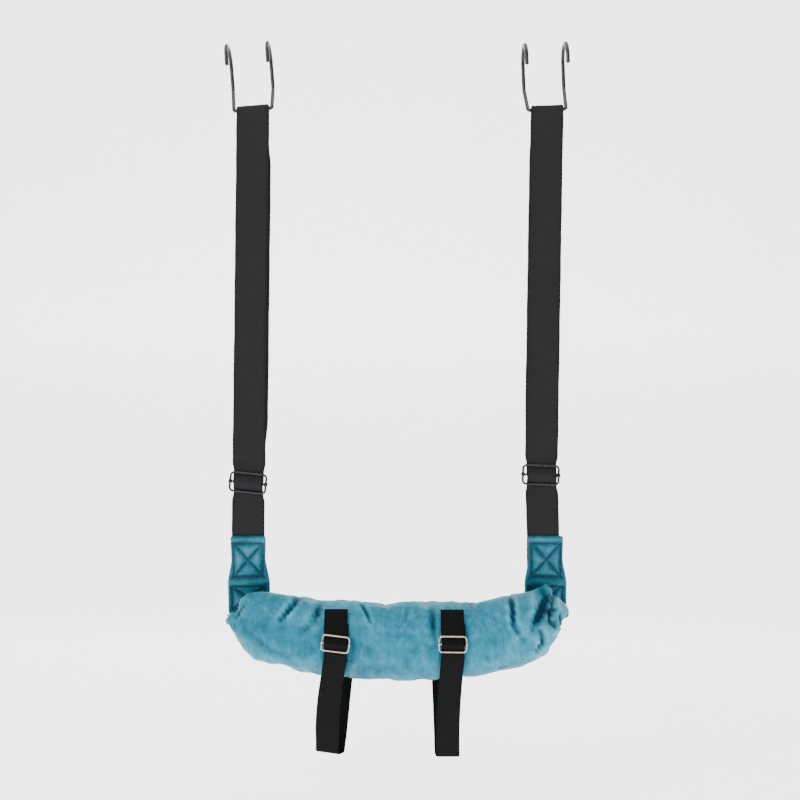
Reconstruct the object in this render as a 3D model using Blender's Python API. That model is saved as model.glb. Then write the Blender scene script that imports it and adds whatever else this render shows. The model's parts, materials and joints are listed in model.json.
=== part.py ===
"""Hanging padded sling: two double-prong wire hooks, two long adjustable webbing straps, a stuffed velvet
bolster carried by a webbing band, and two small adjustable strap loops under it.

Metres, +Z up. The front of the sling faces -Y, and +X is to the right seen from the front.
The origin is midway between the two hooks, on the line where they rest on what they hang over.
"""

import math

import bmesh
import bpy
from mathutils import Matrix, Quaternion, Vector

GAP = 0.0004  # clearance between pieces that touch
SIDES = {"left": -1, "right": 1}
STRAP_X = 0.225
# how far each strap leans sideways from STRAP_X at its adjuster, at its tab and behind the bolster
STRAP_LEAN = {"left": (-0.0065, -0.0075, -0.0120), "right": (-0.0096, -0.0055, 0.0006)}

# hooks, one bent wire each
HOOK_WIRE_R = 0.0030
HOOK_SIDES = 12
CURL_R = 0.0255  # centreline radius of the curl that goes over a rail
CURL_STEPS = 13  # odd, so that one facet of the curl faces straight down
TIP_LENGTH = 0.010
PRONG_HALF_TOP = 0.031
PRONG_HALF_BOTTOM = 0.029
SHANK_LENGTH = 0.036  # straight run of the shank below the curl
HOOK_HEIGHT = 0.0995  # crossbar's axis to the top of the curl's centreline
HOOK_CORNER_R = 0.0042
SHANK_BEND_R = 0.012
HOOK_TILT = {"left": 4.5, "right": 2.3}  # degrees
CROSSBAR_Z = -(HOOK_HEIGHT - HOOK_WIRE_R)
# how far across from its front layer each strap's back layer hangs
BACK_LAYER_SHIFT = {"left": 0.0035, "right": -0.0010}

# main webbing, folded over the crossbar
WEB_W = 0.050
WEB_T = 0.0018
LAYER_Y = (WEB_T + GAP) / 2  # half the distance between the layers' centrelines
FOLD_INNER_R = 0.0047
FOLD_LEG = 0.048
FOLD_W = 0.0492

# adjusters, wire tri-glides
ADJ_WIRE_R = 0.00175
ADJ_W = 0.0580
ADJ_H = 0.032
ADJ_CORNER_R = 0.0055
ADJ_Y = -(LAYER_Y + WEB_T / 2 + GAP + ADJ_WIRE_R)
ADJ_Z = {"left": -0.667, "right": -0.655}
ADJ_TILT = {"left": 6.0, "right": 2.0}  # degrees
ADJ_SHIFT = -0.0005  # the webbing has slipped this far across in its adjuster
THREAD_W = 0.0456
THREAD_HALF = 0.030  # half the height of the webbing that moves with an adjuster
SEWN_END = 0.046
NEST = 0.4  # how much sooner an inner layer bends, in its own thicknesses

# tabs and the webbing behind them
TAB_TOP_Z = -0.745
TAB_LENGTH = 0.147
TAB_SHIFT = {"left": 0.0, "right": 0.0035}
TAB_T = 0.005
TAB_W_TOP = 0.053
TAB_W_BOTTOM = 0.064
BASE_Y = 0.0500
BASE_BOTTOM_Z = {"left": -0.897, "right": -0.908}
BASE_TOP_Z = -0.730  # where the strap's free length ends
LEAN_START_Z = -0.742
LEAN_END_Z = -0.868
LEAN_R = 0.030

# bolster
BOLSTER_X = -0.004
BOLSTER_HALF = 0.258
BOLSTER_R = 0.057
BOLSTER_Y = 0.003
BOLSTER_Z = -0.9085
END_RISE = 0.039  # how far the ends of the bolster turn up
BACK_Y_MIDDLE = 0.0485
BACK_Y_END = 0.0420
COVER_T = 0.0020
FILLING_INSET = 0.0030
RINGS = 29
RING_POINTS = 24
SLIT_RINGS = (11, 17)  # the closing seam is open between these rings
SLIT_COLUMN = 20

# band behind the bolster
BAND_W = 0.050
BAND_T = 0.0018
BAND_Z = -0.904
BAND_ENDS = ((-0.2735, -0.2360), (0.2595, 0.2365))  # x of the slanting ends at top and bottom
BAND_Y = BASE_Y + WEB_T / 2 + GAP + BAND_T / 2

# small loops
LOOP_W = 0.035
LOOP_T = 0.0014
BUCKLE_WIRE_R = 0.00125
BUCKLE_W = 0.0425
BUCKLE_H = 0.025
BUCKLE_CORNER_R = 0.0045
BUCKLE_ANGLE = 4.0  # degrees above the middle of the bolster's front
BUCKLE_TILT = {"left": 7.0, "right": 0.5}
LOOP_THREAD_W = 0.0335
ANCHOR_ANGLE = 27.0  # where the buckle's anchor ends, in degrees above the buckle
TAIL_ANGLE = 49.0  # where the loop's free end lies, in degrees above the buckle
LOOP_LIFT = 0.0016  # the bolster's ends turn up, so straight webbing stands this far off it
TAIL_R = BOLSTER_R + LOOP_LIFT + 3 * GAP + 2.5 * LOOP_T
TOP_X = {"left": -0.0954, "right": 0.0780}
LOW_X = {"left": -0.1114, "right": 0.0726}
BACK_X = {"left": -0.0870, "right": 0.0660}
LOOP_BOTTOM_Z = {"left": -1.080, "right": -1.086}
LOOP_FOLD_R = 0.004
LOOP_FOLD_HALF = 0.0075
LOOP_FOLD_LENGTH = 0.022
LOOP_FOLD_SHARE = 0.35  # how far across the loop has moved at the back of its fold
LOOP_TILT = {"left": 8.0, "right": 0.0}  # degrees, how askew the loop's bottom hangs
TILT_FROM_Z, TILT_TO_Z = -0.985, -1.045
LOOP_LEG = 0.024  # how much of each layer the loop's bottom takes with it
THREAD_ANGLE = 22.0
LOOP_START_GAP = 0.0014  # the front layer leaves the buckle at another angle
LOOP_BACK_TOP_Z = -0.884
LOOP_BACK_Y = BAND_Y + BAND_T / 2 + GAP + LOOP_T / 2

# stitching
STITCH_T = 0.0006
STITCH_LINE = 0.0012
TAB_STITCHES = (("upper", 0.0425, 0.060), ("lower", 0.109, 0.034))  # distance down the tab, height
TAB_STITCH_W = 0.042
BAND_STITCH_W = 0.040
BAND_STITCH_MARGIN = 0.002
LOOP_STITCH = (0.024, 0.022)
X_AXIS = Vector((1, 0, 0))
FACING_BACK = Matrix(((1, 0, 0), (0, 0, 1), (0, 1, 0))).to_4x4()  # lays a flat piece on a back face


# ---- helpers ----


def clear_scene():
    for ob in list(bpy.data.objects):
        bpy.data.objects.remove(ob, do_unlink=True)


def make_material(name, color, roughness, metallic=0.0):
    mat = bpy.data.materials.new(name)
    mat.use_nodes = True
    shader = mat.node_tree.nodes["Principled BSDF"]
    shader.inputs["Base Color"].default_value = (*color, 1.0)
    shader.inputs["Roughness"].default_value = roughness
    shader.inputs["Metallic"].default_value = metallic
    mat.diffuse_color = (*color, 1.0)
    return mat


def make_object(name, verts, faces, mat, smooth=False):
    mesh = bpy.data.meshes.new(name)
    mesh.from_pydata([tuple(v) for v in verts], [], faces)
    bm = bmesh.new()
    bm.from_mesh(mesh)
    bmesh.ops.recalc_face_normals(bm, faces=bm.faces)
    bm.to_mesh(mesh)
    bm.free()
    if smooth:
        mesh.shade_smooth()
    mesh.materials.append(mat)
    ob = bpy.data.objects.new(name, mesh)
    bpy.context.scene.collection.objects.link(ob)
    return ob


def flat_path(x, points):
    """Points (y, z) as vectors at one x."""
    return [Vector((x, y, z)) for y, z in points]


def rounded(points, radii, step=math.radians(14)):
    """The polyline with an arc of the given radius at each inner corner."""
    out = [points[0]]
    for before, corner, after, radius in zip(points, points[1:-1], points[2:], radii):
        a, b = (before - corner).normalized(), (after - corner).normalized()
        turn = math.pi - a.angle(b)
        if radius == 0 or turn < 0.01:
            out.append(corner)
            continue
        reach = radius * math.tan(turn / 2)
        centre = corner + (a + b).normalized() * radius / math.cos(turn / 2)
        arm = corner + a * reach - centre
        axis = arm.cross(corner + b * reach - centre).normalized()
        steps = max(1, math.ceil(turn / step))
        for i in range(steps + 1):
            out.append(centre + Quaternion(axis, turn * i / steps) @ arm)
    out.append(points[-1])
    return out


def wrapped(start, pin, radius, end, step=math.radians(15)):
    """Points (y, z) of a taut band from start, round the pin towards growing angles, to end."""
    start, pin, end = Vector(start), Vector(pin), Vector(end)

    def polar(point):
        arm = point - pin
        return math.atan2(arm.y, arm.x), math.acos(radius / arm.length)

    base_a, reach_a = polar(start)
    base_b, reach_b = polar(end)
    first, last = base_a + reach_a, base_b - reach_b
    while last < first:
        last += 2 * math.pi
    steps = max(1, math.ceil((last - first) / step))
    turn = [first + (last - first) * i / steps for i in range(steps + 1)]
    arc = [pin + Vector((math.cos(t), math.sin(t))) * radius for t in turn]
    return [tuple(p) for p in (start, *arc, end)]


def shortened(path, at_start=0.0, at_end=0.0):
    """The path with its first and last stretches cut back."""
    path = [p.copy() for p in path]
    for cut, i, j in ((at_start, 0, 1), (at_end, -1, -2)):
        if cut:
            path[i] += (path[j] - path[i]).normalized() * cut
    return path


def tangents(path, closed=False):
    n = len(path)
    out = []
    for i, p in enumerate(path):
        before = path[(i - 1) % n] if closed or i else p
        after = path[(i + 1) % n] if closed or i < n - 1 else p
        steps = [(d.normalized() if d.length else None) for d in (p - before, after - p)]
        steps = [d for d in steps if d is not None]
        out.append((sum(steps, Vector()).normalized(), steps[0]))
    return out


def sweep_faces(n_path, n_section, closed):
    """Quads between rings, and the two end caps of an open sweep."""
    faces = []
    for i in range(n_path if closed else n_path - 1):
        j = (i + 1) % n_path
        for k in range(n_section):
            m = (k + 1) % n_section
            faces.append(
                (i * n_section + k, i * n_section + m, j * n_section + m, j * n_section + k)
            )
    if not closed:
        faces.append(tuple(reversed(range(n_section))))
        faces.append(tuple(range((n_path - 1) * n_section, n_path * n_section)))
    return faces


def strip(name, path, width, thickness, mat, warp=None, end_width=None):
    """A band of webbing along the path, its width always along X. warp moves each finished corner."""
    verts = []
    for i, (p, (t, first)) in enumerate(zip(path, tangents(path))):
        share = i / (len(path) - 1)
        half = ((1 - share) * width + share * (end_width or width)) / 2
        profile = Vector((0, t.y, t.z)).normalized()
        mitre = profile.dot(Vector((0, first.y, first.z)).normalized())
        up = profile.cross(X_AXIS) * thickness / 2 / max(0.5, mitre)
        for across, through in ((-1, -1), (1, -1), (1, 1), (-1, 1)):
            v = p + X_AXIS * half * across + up * through
            verts.append(warp(v) if warp else v)
    return make_object(name, verts, sweep_faces(len(path), 4, False), mat)


def tube(name, path, radius, sides, mat, closed=False):
    """A round wire along the path, with a flat facet kept towards the X axis' own normals."""
    verts, normal, last = [], None, None
    for p, (t, first) in zip(path, tangents(path, closed)):
        if normal is None:
            normal = (X_AXIS - t * X_AXIS.dot(t)).normalized()
            if normal.length < 0.5:
                normal = Vector((0, 0, 1))
        else:
            normal = last.rotation_difference(t) @ normal
            normal = (normal - t * normal.dot(t)).normalized()
        last = t
        other = t.cross(normal)
        stretch = 1 / max(0.5, t.dot(first))
        corner = t.cross(first)
        for k in range(sides):
            angle = 2 * math.pi * (k + 0.5) / sides
            arm = (normal * math.cos(angle) + other * math.sin(angle)) * radius
            if corner.length > 1e-6:
                across = corner.normalized().cross(t)
                arm += across * arm.dot(across) * (stretch - 1)
            verts.append(p + arm)
    return make_object(name, verts, sweep_faces(len(path), sides, closed), mat, True)


def frame_ring(name, centre, width, height, corner_r, wire_r, tilt, mat, pitch=0.0):
    """A closed rounded rectangle of wire that faces -Y, turned about its own centre."""
    w, h = width / 2 - wire_r, height / 2 - wire_r
    loop = []
    for x, z in ((w, h), (-w, h), (-w, -h), (w, -h)):
        cx = x - math.copysign(corner_r, x)
        cz = z - math.copysign(corner_r, z)
        start = math.degrees(math.atan2(z, x)) // 90 * 90
        for i in range(6):
            t = math.radians(start + 90 * i / 5)
            loop.append(Vector((cx + corner_r * math.cos(t), 0, cz + corner_r * math.sin(t))))
    turn = Matrix.Rotation(math.radians(tilt), 4, "Y")
    ob = tube(name, [turn @ p for p in loop], wire_r, 8, mat, closed=True)
    ob.matrix_world = Matrix.Translation(centre) @ Matrix.Rotation(math.radians(pitch), 4, "X")
    return ob


def join_solid(ob, other):
    """Unites other into ob."""
    mod = ob.modifiers.new("join_" + other.name, "BOOLEAN")
    mod.operation = "UNION"
    mod.solver = "EXACT"
    mod.object = other
    other.hide_render = True
    other.display_type = "WIRE"


def eyelet(name, centre, turn, wire_r, wall, length, mat):
    """A short sleeve round a side wire, its axis along the wire."""
    inner, outer = wire_r + GAP, wire_r + GAP + wall
    verts, faces, sides = [], [], 12
    for radius, z in ((outer, -length), (outer, length), (inner, length), (inner, -length)):
        for k in range(sides):
            a = 2 * math.pi * (k + 0.5) / sides
            verts.append((radius * math.cos(a), radius * math.sin(a), z / 2))
    for ring in range(4):
        after = (ring + 1) % 4
        for k in range(sides):
            m = (k + 1) % sides
            faces.append(
                (ring * sides + k, ring * sides + m, after * sides + m, after * sides + k)
            )
    ob = make_object(name, verts, faces, mat)
    ob.matrix_world = Matrix.Translation(centre) @ turn
    return ob


def middle_bar(name, centre, width, wire_r, tilt, mat, pitch=0.0):
    """The bar across a tri-glide, with its ends rolled round the side wires."""
    turn = Matrix.Rotation(math.radians(pitch), 4, "X") @ Matrix.Rotation(
        math.radians(tilt), 4, "Y"
    )
    reach = width / 2 - wire_r
    wall = wire_r * 0.5
    inside = reach - wire_r - GAP - wall / 2
    bar = tube(
        name, [Vector((x, 0, 0)) for x in (-inside, 0, inside)], wire_r, 8, mat
    )
    bar.matrix_world = Matrix.Translation(centre) @ turn
    for i, sign in enumerate((-1, 1)):
        place = centre + turn.to_3x3() @ Vector((sign * reach, 0, 0))
        join_solid(bar, eyelet(f"{name}_eye_{i}", place, turn, wire_r, wall, 3.2 * wire_r, mat))
    return bar


def shear(centre, tilt, inner, outer, turn=None):
    """A warp that tilts webbing with its buckle near centre, and leaves it alone further off."""
    turn = turn or Matrix.Identity(3)
    back = turn.transposed()

    def warp(v):
        p = back @ (v - centre)
        share = min(1, max(0, (outer - abs(p.z)) / (outer - inner)))
        p.z -= p.x * math.tan(math.radians(tilt)) * share
        return centre + turn @ p

    return warp


def lean(side, z):
    """How far a strap lies off STRAP_X at a height."""
    heights = (CROSSBAR_Z, ADJ_Z[side], TAB_TOP_Z, LEAN_END_Z)
    out, before = 0.0, 0.0
    for top, bottom, at in zip(heights, heights[1:], STRAP_LEAN[side]):
        out += (at - before) * min(1, max(0, (top - z) / (top - bottom)))
        before = at
    return out


def leaning(side, warp=None):
    """The strap's sideways lean, on top of another warp."""

    def warped(v):
        v = warp(v) if warp else v.copy()
        v.x += lean(side, v.z)
        return v

    return warped


# ---- hooks ----


def hook_path():
    """The wire's centreline, from one tip over the curl, down and across to the other tip."""
    centre_z = HOOK_HEIGHT - CURL_R
    half = []
    half.append(Vector((PRONG_HALF_TOP, -CURL_R, centre_z - TIP_LENGTH)))
    for i in range(CURL_STEPS + 1):
        t = math.pi * (1 - i / CURL_STEPS)
        half.append(
            Vector((PRONG_HALF_TOP, CURL_R * math.cos(t), centre_z + CURL_R * math.sin(t)))
        )
    shank_end = Vector((PRONG_HALF_TOP, CURL_R, centre_z - SHANK_LENGTH))
    corner = Vector((PRONG_HALF_BOTTOM, 0, 0))
    other = Vector((-PRONG_HALF_BOTTOM, 0, 0))
    bends = rounded([half[-1], shank_end, corner, other], [SHANK_BEND_R, HOOK_CORNER_R])
    half += bends[1:-1]
    mirrored = [Vector((-p.x, p.y, p.z)) for p in reversed(half)]
    return half + mirrored


def make_hook(side, mat):
    ob = tube(f"{side}_hook", hook_path(), HOOK_WIRE_R, HOOK_SIDES, mat)
    ob.matrix_world = Matrix.Translation(
        (SIDES[side] * STRAP_X, 0, CROSSBAR_Z)
    ) @ Matrix.Rotation(math.radians(-HOOK_TILT[side]), 4, "Y")


# ---- main straps ----


def make_strap(side, web, metal):
    x = SIDES[side] * STRAP_X
    adj_z = ADJ_Z[side]
    centre = Vector((x, ADJ_Y, adj_z))
    front_y, back_y = -LAYER_Y, LAYER_Y
    sewn_y = back_y + WEB_T + GAP
    leg_z = CROSSBAR_Z - FOLD_LEG
    top, low = adj_z + THREAD_HALF, adj_z - THREAD_HALF

    fold_warp = shear(
        Vector((x, 0, CROSSBAR_Z)), -HOOK_TILT[side], 0.012, FOLD_LEG
    )
    fold_r = FOLD_INNER_R + WEB_T / 2
    fold = wrapped((back_y, leg_z), (0, CROSSBAR_Z), fold_r, (front_y, leg_z))
    strip(
        f"{side}_strap_fold", flat_path(x, fold), FOLD_W, WEB_T, web, leaning(side, fold_warp)
    )

    cut = GAP
    upright = leaning(side)
    back = flat_path(x + BACK_LAYER_SHIFT[side], [(back_y, top), (back_y, leg_z)])
    strip(f"{side}_strap_back", shortened(back, 0, cut), WEB_W, WEB_T, web, upright)
    front = flat_path(x, [(front_y, leg_z), (front_y, top)])
    strip(f"{side}_strap_front", shortened(front, cut, 0), WEB_W, WEB_T, web, upright)
    tail = flat_path(x, [(front_y, low), (front_y, BASE_TOP_Z)])
    strip(f"{side}_strap_lower", shortened(tail, 0, cut), WEB_W, WEB_T, web, upright)

    warp = leaning(side, shear(centre, ADJ_TILT[side], ADJ_H / 2, THREAD_HALF))
    pin = (ADJ_Y, adj_z)
    end_r = ADJ_WIRE_R + GAP + WEB_T / 2
    inside = ADJ_H / 2 - 2 * ADJ_WIRE_R
    nest = NEST * (WEB_T + GAP)  # an inner layer starts to lean a little lower
    end = wrapped(
        (back_y, adj_z + inside - nest), pin, end_r, (sewn_y, adj_z + inside - 2 * nest)
    )
    end = [(back_y, top)] + end + [(sewn_y, adj_z + SEWN_END)]
    end = shortened(flat_path(x, end), cut, 0)
    strip(f"{side}_strap_end", end, THREAD_W, WEB_T, web, warp)

    over_r = end_r + WEB_T + GAP
    thread = wrapped(
        (front_y, adj_z + inside), pin, over_r, (front_y, adj_z - inside)
    )
    thread = [(front_y, top)] + thread + [(front_y, low)]
    thread = shortened(flat_path(x, thread), cut, cut)
    strip(f"{side}_strap_thread", thread, THREAD_W, WEB_T, web, warp)

    tilt = ADJ_TILT[side]
    centre.x += lean(side, adj_z) + ADJ_SHIFT
    frame_ring(
        f"{side}_adjuster_frame", centre, ADJ_W, ADJ_H, ADJ_CORNER_R, ADJ_WIRE_R, tilt, metal
    )
    middle_bar(f"{side}_adjuster_bar", centre, ADJ_W, ADJ_WIRE_R, tilt, metal)


# ---- tabs ----


def base_path(side, x):
    """The webbing behind a tab: down from the strap, leaning back, then down behind the bolster."""
    points = flat_path(
        x,
        [
            (-LAYER_Y, BASE_TOP_Z),
            (-LAYER_Y, LEAN_START_Z),
            (BASE_Y, LEAN_END_Z),
            (BASE_Y, BASE_BOTTOM_Z[side]),
        ],
    )
    return rounded(points, [LEAN_R, LEAN_R], math.radians(6))


def offset(path, distance):
    """The path moved towards the front by distance, square to itself."""
    out = []
    for p, (t, _) in zip(path, tangents(path)):
        out.append(p + t.cross(X_AXIS).normalized() * distance)
    return out


def along(path, distance):
    """Point and direction at a distance along the path."""
    for a, b in zip(path, path[1:]):
        step = (b - a).length
        if distance <= step:
            return a.lerp(b, distance / step), (b - a).normalized()
        distance -= step
    return path[-1], (path[-1] - path[-2]).normalized()


def cut_path(path, start, end):
    """The stretch of the path between two distances along it."""
    out, run = [along(path, start)[0]], 0.0
    for a, b in zip(path, path[1:]):
        run += (b - a).length
        if start + 0.0002 < run < end - 0.0002:
            out.append(b)
    return out + [along(path, end)[0]]


def x_box(name, place, width, height, mat):
    """A sewn square with its two diagonals: a flat outline with four triangular holes."""
    w, h, line = width / 2, height / 2, STITCH_LINE
    curve = bpy.data.curves.new(name, "CURVE")
    curve.dimensions = "2D"
    curve.fill_mode = "BOTH"
    curve.extrude = STITCH_T / 2
    diagonal = math.hypot(w, h)
    # each hole is a side of the box and two half diagonals, all moved in by the line's width
    inner_w, inner_h = w - line, h - line
    tip_h = line / 2 * diagonal / w
    tip_w = line / 2 * diagonal / h
    side_h = inner_w * h / w - tip_h
    side_w = inner_h * w / h - tip_w
    outlines = [[(-w, -h), (w, -h), (w, h), (-w, h)]]
    for sign in (-1, 1):
        outlines.append([(0, sign * tip_h), (side_w, sign * inner_h), (-side_w, sign * inner_h)])
        outlines.append([(sign * tip_w, 0), (sign * inner_w, side_h), (sign * inner_w, -side_h)])
    for outline in outlines:
        spline = curve.splines.new("POLY")
        spline.points.add(len(outline) - 1)
        for point, (a, b) in zip(spline.points, outline):
            point.co = (a, b, 0, 1)
        spline.use_cyclic_u = True
    curve.materials.append(mat)
    ob = bpy.data.objects.new(name, curve)
    bpy.context.scene.collection.objects.link(ob)
    ob.matrix_world = place
    return ob


def on_surface(point, down, lift):
    """A frame for a flat piece on webbing: its Y up along the webbing, its Z out to the front."""
    front = down.cross(X_AXIS).normalized()
    turn = Matrix((X_AXIS, -down, front)).transposed().to_4x4()
    return Matrix.Translation(point + front * lift) @ turn


def make_tab(side, web, velvet, thread):
    x = SIDES[side] * STRAP_X
    base = base_path(side, x)
    upright = leaning(side)
    strip(f"{side}_strap_base", shortened(base, GAP, 0), WEB_W, WEB_T, web, upright)
    front = offset(base, WEB_T / 2 + GAP + TAB_T / 2)
    start = BASE_TOP_Z - TAB_TOP_Z
    tab = [p + X_AXIS * TAB_SHIFT[side] for p in cut_path(front, start, start + TAB_LENGTH)]
    strip(
        f"{side}_tab", tab, TAB_W_TOP, TAB_T, velvet, upright, TAB_W_BOTTOM
    )
    lift = TAB_T / 2 + GAP + STITCH_T / 2
    for part, distance, height in TAB_STITCHES:
        point, down = along(tab, distance)
        point.x += lean(side, point.z)
        place = on_surface(point, down, lift)
        x_box(f"{side}_tab_stitch_{part}", place, TAB_STITCH_W, height, thread)


# ---- bolster and band ----


def bolster_rise(x):
    """How far the bolster's own axis lies above its middle."""
    return END_RISE * (abs(x - BOLSTER_X) / BOLSTER_HALF) ** 2.3


def bolster_ring(u, inset):
    """One cross section of the bolster at u, from -1 to 1 along it, moved in by inset."""
    x = BOLSTER_X + BOLSTER_HALF * u
    full = max(0.0, 1 - abs(u) ** 8) ** 0.625
    rise = bolster_rise(x)
    back = BACK_Y_MIDDLE + (BACK_Y_END - BACK_Y_MIDDLE) * min(1, abs(u) / 0.7) ** 4
    radius = max(0.001, BOLSTER_R * full - inset)
    back_r = max(0.001, (back - BOLSTER_Y) * min(1, full * 1.05) - inset)
    ring = []
    for k in range(RING_POINTS):
        t = 2 * math.pi * k / RING_POINTS
        depth = back_r if math.sin(t) > 0 else radius
        ring.append(
            Vector((x, BOLSTER_Y + depth * math.sin(t), BOLSTER_Z + rise + radius * math.cos(t)))
        )
    return ring


def bolster_rings(inset):
    """Cross sections, closer together towards the ends."""
    out = []
    for i in range(RINGS):
        share = 2 * i / (RINGS - 1) - 1
        u = math.copysign(1 - (1 - abs(share)) ** 1.6, share) * (0.992 - inset * 2)
        out.append(bolster_ring(u, inset))
    return out


def make_cover(mat):
    """The velvet cover: outer and inner skin, joined round the open closing seam at the back."""
    verts, faces = [], []
    count = RINGS * RING_POINTS
    for inset in (0, COVER_T):
        for ring in bolster_rings(inset):
            verts += ring
    for skin in (0, count):
        for i in range(RINGS - 1):
            for k in range(RING_POINTS):
                if SLIT_RINGS[0] <= i < SLIT_RINGS[1] and k == SLIT_COLUMN:
                    continue
                m = (k + 1) % RING_POINTS
                a, b = skin + i * RING_POINTS, skin + (i + 1) * RING_POINTS
                quad = (a + k, a + m, b + m, b + k)
                faces.append(quad if skin == 0 else quad[::-1])
        for i in (0, RINGS - 1):
            faces.append(tuple(skin + i * RING_POINTS + k for k in range(RING_POINTS)))
    edge_a, edge_b = SLIT_COLUMN, (SLIT_COLUMN + 1) % RING_POINTS
    rim = [i * RING_POINTS + edge_a for i in range(SLIT_RINGS[0], SLIT_RINGS[1] + 1)]
    rim += [i * RING_POINTS + edge_b for i in range(SLIT_RINGS[1], SLIT_RINGS[0] - 1, -1)]
    for a, b in zip(rim, rim[1:] + rim[:1]):
        faces.append((a, b, b + count, a + count))
    return make_object("bolster_cover", verts, faces, mat, True)


def make_filling(mat):
    rings = bolster_rings(FILLING_INSET)[1:-1]
    verts = [v for ring in rings for v in ring]
    return make_object(
        "bolster_filling", verts, sweep_faces(len(rings), RING_POINTS, False), mat, True
    )


def make_band(web, thread):
    verts = [
        (top if z > 0 else bottom, BAND_Y + y * BAND_T / 2, BAND_Z + z * BAND_W / 2)
        for top, bottom in BAND_ENDS
        for y, z in ((-1, -1), (1, -1), (1, 1), (-1, 1))
    ]
    make_object("back_band", verts, sweep_faces(2, 4, False), web)
    lift = GAP + STITCH_T / 2
    for side, sign in SIDES.items():
        x = sign * STRAP_X + lean(side, BAND_Z)
        top, bottom = BAND_Z + BAND_W / 2, BASE_BOTTOM_Z[side]
        at = Matrix.Translation((x, BAND_Y + BAND_T / 2 + lift, (top + bottom) / 2))
        height = top - bottom - 2 * BAND_STITCH_MARGIN
        x_box(f"{side}_band_stitch", at @ FACING_BACK, BAND_STITCH_W, height, thread)


# ---- small loops ----


def make_loop(side, web, metal, thread):
    x = TOP_X[side]
    axis = Vector((x, BOLSTER_Y, BOLSTER_Z + bolster_rise(x)))
    turn = Matrix.Rotation(math.radians(-BUCKLE_ANGLE), 3, "X")

    def placed(points):
        """Points (y, z) about the bolster's axis, turned up to the buckle's place."""
        return [axis + turn @ Vector((0, y, z)) for y, z in points]

    half_h = BUCKLE_H / 2 - BUCKLE_WIRE_R
    behind = TAIL_R + LOOP_T / 2 + GAP + BUCKLE_WIRE_R
    frame_y = -math.sqrt(behind**2 - half_h**2)
    centre = axis + turn @ Vector((0, frame_y, 0))
    pitch, tilt = -BUCKLE_ANGLE, BUCKLE_TILT[side]
    frame_ring(
        f"{side}_buckle_frame",
        centre,
        BUCKLE_W,
        BUCKLE_H,
        BUCKLE_CORNER_R,
        BUCKLE_WIRE_R,
        tilt,
        metal,
        pitch,
    )
    middle_bar(f"{side}_buckle_bar", centre, BUCKLE_W, BUCKLE_WIRE_R, tilt, metal, pitch)
    warp = shear(centre, tilt, BUCKLE_H / 2, BUCKLE_H, turn)

    def on_arc(radius, degrees):
        t = math.radians(degrees)
        return -radius * math.cos(t), radius * math.sin(t)

    def arc(radius, start, end, steps=6):
        return [on_arc(radius, start + (end - start) * i / steps) for i in range(steps + 1)]

    pin = (frame_y, 0)
    end_r = BUCKLE_WIRE_R + GAP + LOOP_T / 2
    front_r = TAIL_R - LOOP_T - GAP
    rear_r = front_r - LOOP_T - GAP
    lean = math.degrees(math.asin((half_h - 2 * BUCKLE_WIRE_R) / TAIL_R))
    nest = math.degrees(NEST * (LOOP_T + GAP) / TAIL_R)
    front_leg = arc(front_r, ANCHOR_ANGLE, lean - nest)
    rear_leg = arc(rear_r, lean - 2 * nest, ANCHOR_ANGLE - 2)
    anchor = front_leg[:-1] + wrapped(front_leg[-1], pin, end_r, rear_leg[0]) + rear_leg[1:]
    strip(f"{side}_loop_anchor", placed(anchor), LOOP_THREAD_W, LOOP_T, web, warp)

    over_r = end_r + LOOP_T + GAP
    thread_path = arc(TAIL_R, THREAD_ANGLE, lean, 3)[:-1]
    thread_path += wrapped(on_arc(TAIL_R, lean), pin, over_r, on_arc(TAIL_R, -lean))
    thread_path += arc(TAIL_R, -lean, -THREAD_ANGLE, 3)[1:]
    strip(
        f"{side}_loop_thread",
        shortened(placed(thread_path), 0, GAP),
        LOOP_THREAD_W,
        LOOP_T,
        web,
        warp,
    )
    tail = shortened(placed(arc(TAIL_R, THREAD_ANGLE, TAIL_ANGLE, 6)), GAP, 0)
    strip(f"{side}_loop_tail", tail, LOOP_W, LOOP_T, web)

    # the hanging loop: front layer, soft fold at the bottom, back layer up to the band
    low_x, back_x = LOW_X[side], BACK_X[side]
    bottom = LOOP_BOTTOM_Z[side] + LOOP_T / 2
    loop = rounded(
        [
            placed([on_arc(TAIL_R, -THREAD_ANGLE)])[0],
            Vector((low_x, BOLSTER_Y - LOOP_FOLD_HALF, bottom)),
            Vector(
                (low_x + (back_x - low_x) * LOOP_FOLD_SHARE, BOLSTER_Y + LOOP_FOLD_HALF, bottom)
            ),
            Vector((back_x, LOOP_BACK_Y, BAND_Z - BAND_W / 2 - 0.004)),
            Vector((back_x, LOOP_BACK_Y, LOOP_BACK_TOP_Z)),
        ],
        [LOOP_FOLD_R, LOOP_FOLD_R, 0.02],
    )
    length = sum((b - a).length for a, b in zip(loop, loop[1:]))
    front_length = (loop[1] - loop[0]).length - LOOP_LEG
    middle = front_length + 2 * LOOP_LEG + LOOP_FOLD_LENGTH
    cuts = (("front", 0, front_length), ("bottom", front_length, middle), ("back", middle, length))

    def askew(v):
        v = v.copy()
        share = min(1, max(0, (TILT_FROM_Z - v.z) / (TILT_FROM_Z - TILT_TO_Z)))
        v.z -= (v.x - low_x) * math.tan(math.radians(LOOP_TILT[side])) * share
        return v

    for piece, start, end in cuts:
        path = cut_path(loop, max(start + GAP / 2, LOOP_START_GAP), end - GAP / 2)
        strip(f"{side}_loop_{piece}", path, LOOP_W, LOOP_T, web, askew)
    lift = LOOP_T / 2 + GAP + STITCH_T / 2
    at = Matrix.Translation((back_x, LOOP_BACK_Y + lift, BAND_Z))
    x_box(f"{side}_loop_stitch", at @ FACING_BACK, *LOOP_STITCH, thread)


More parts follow.
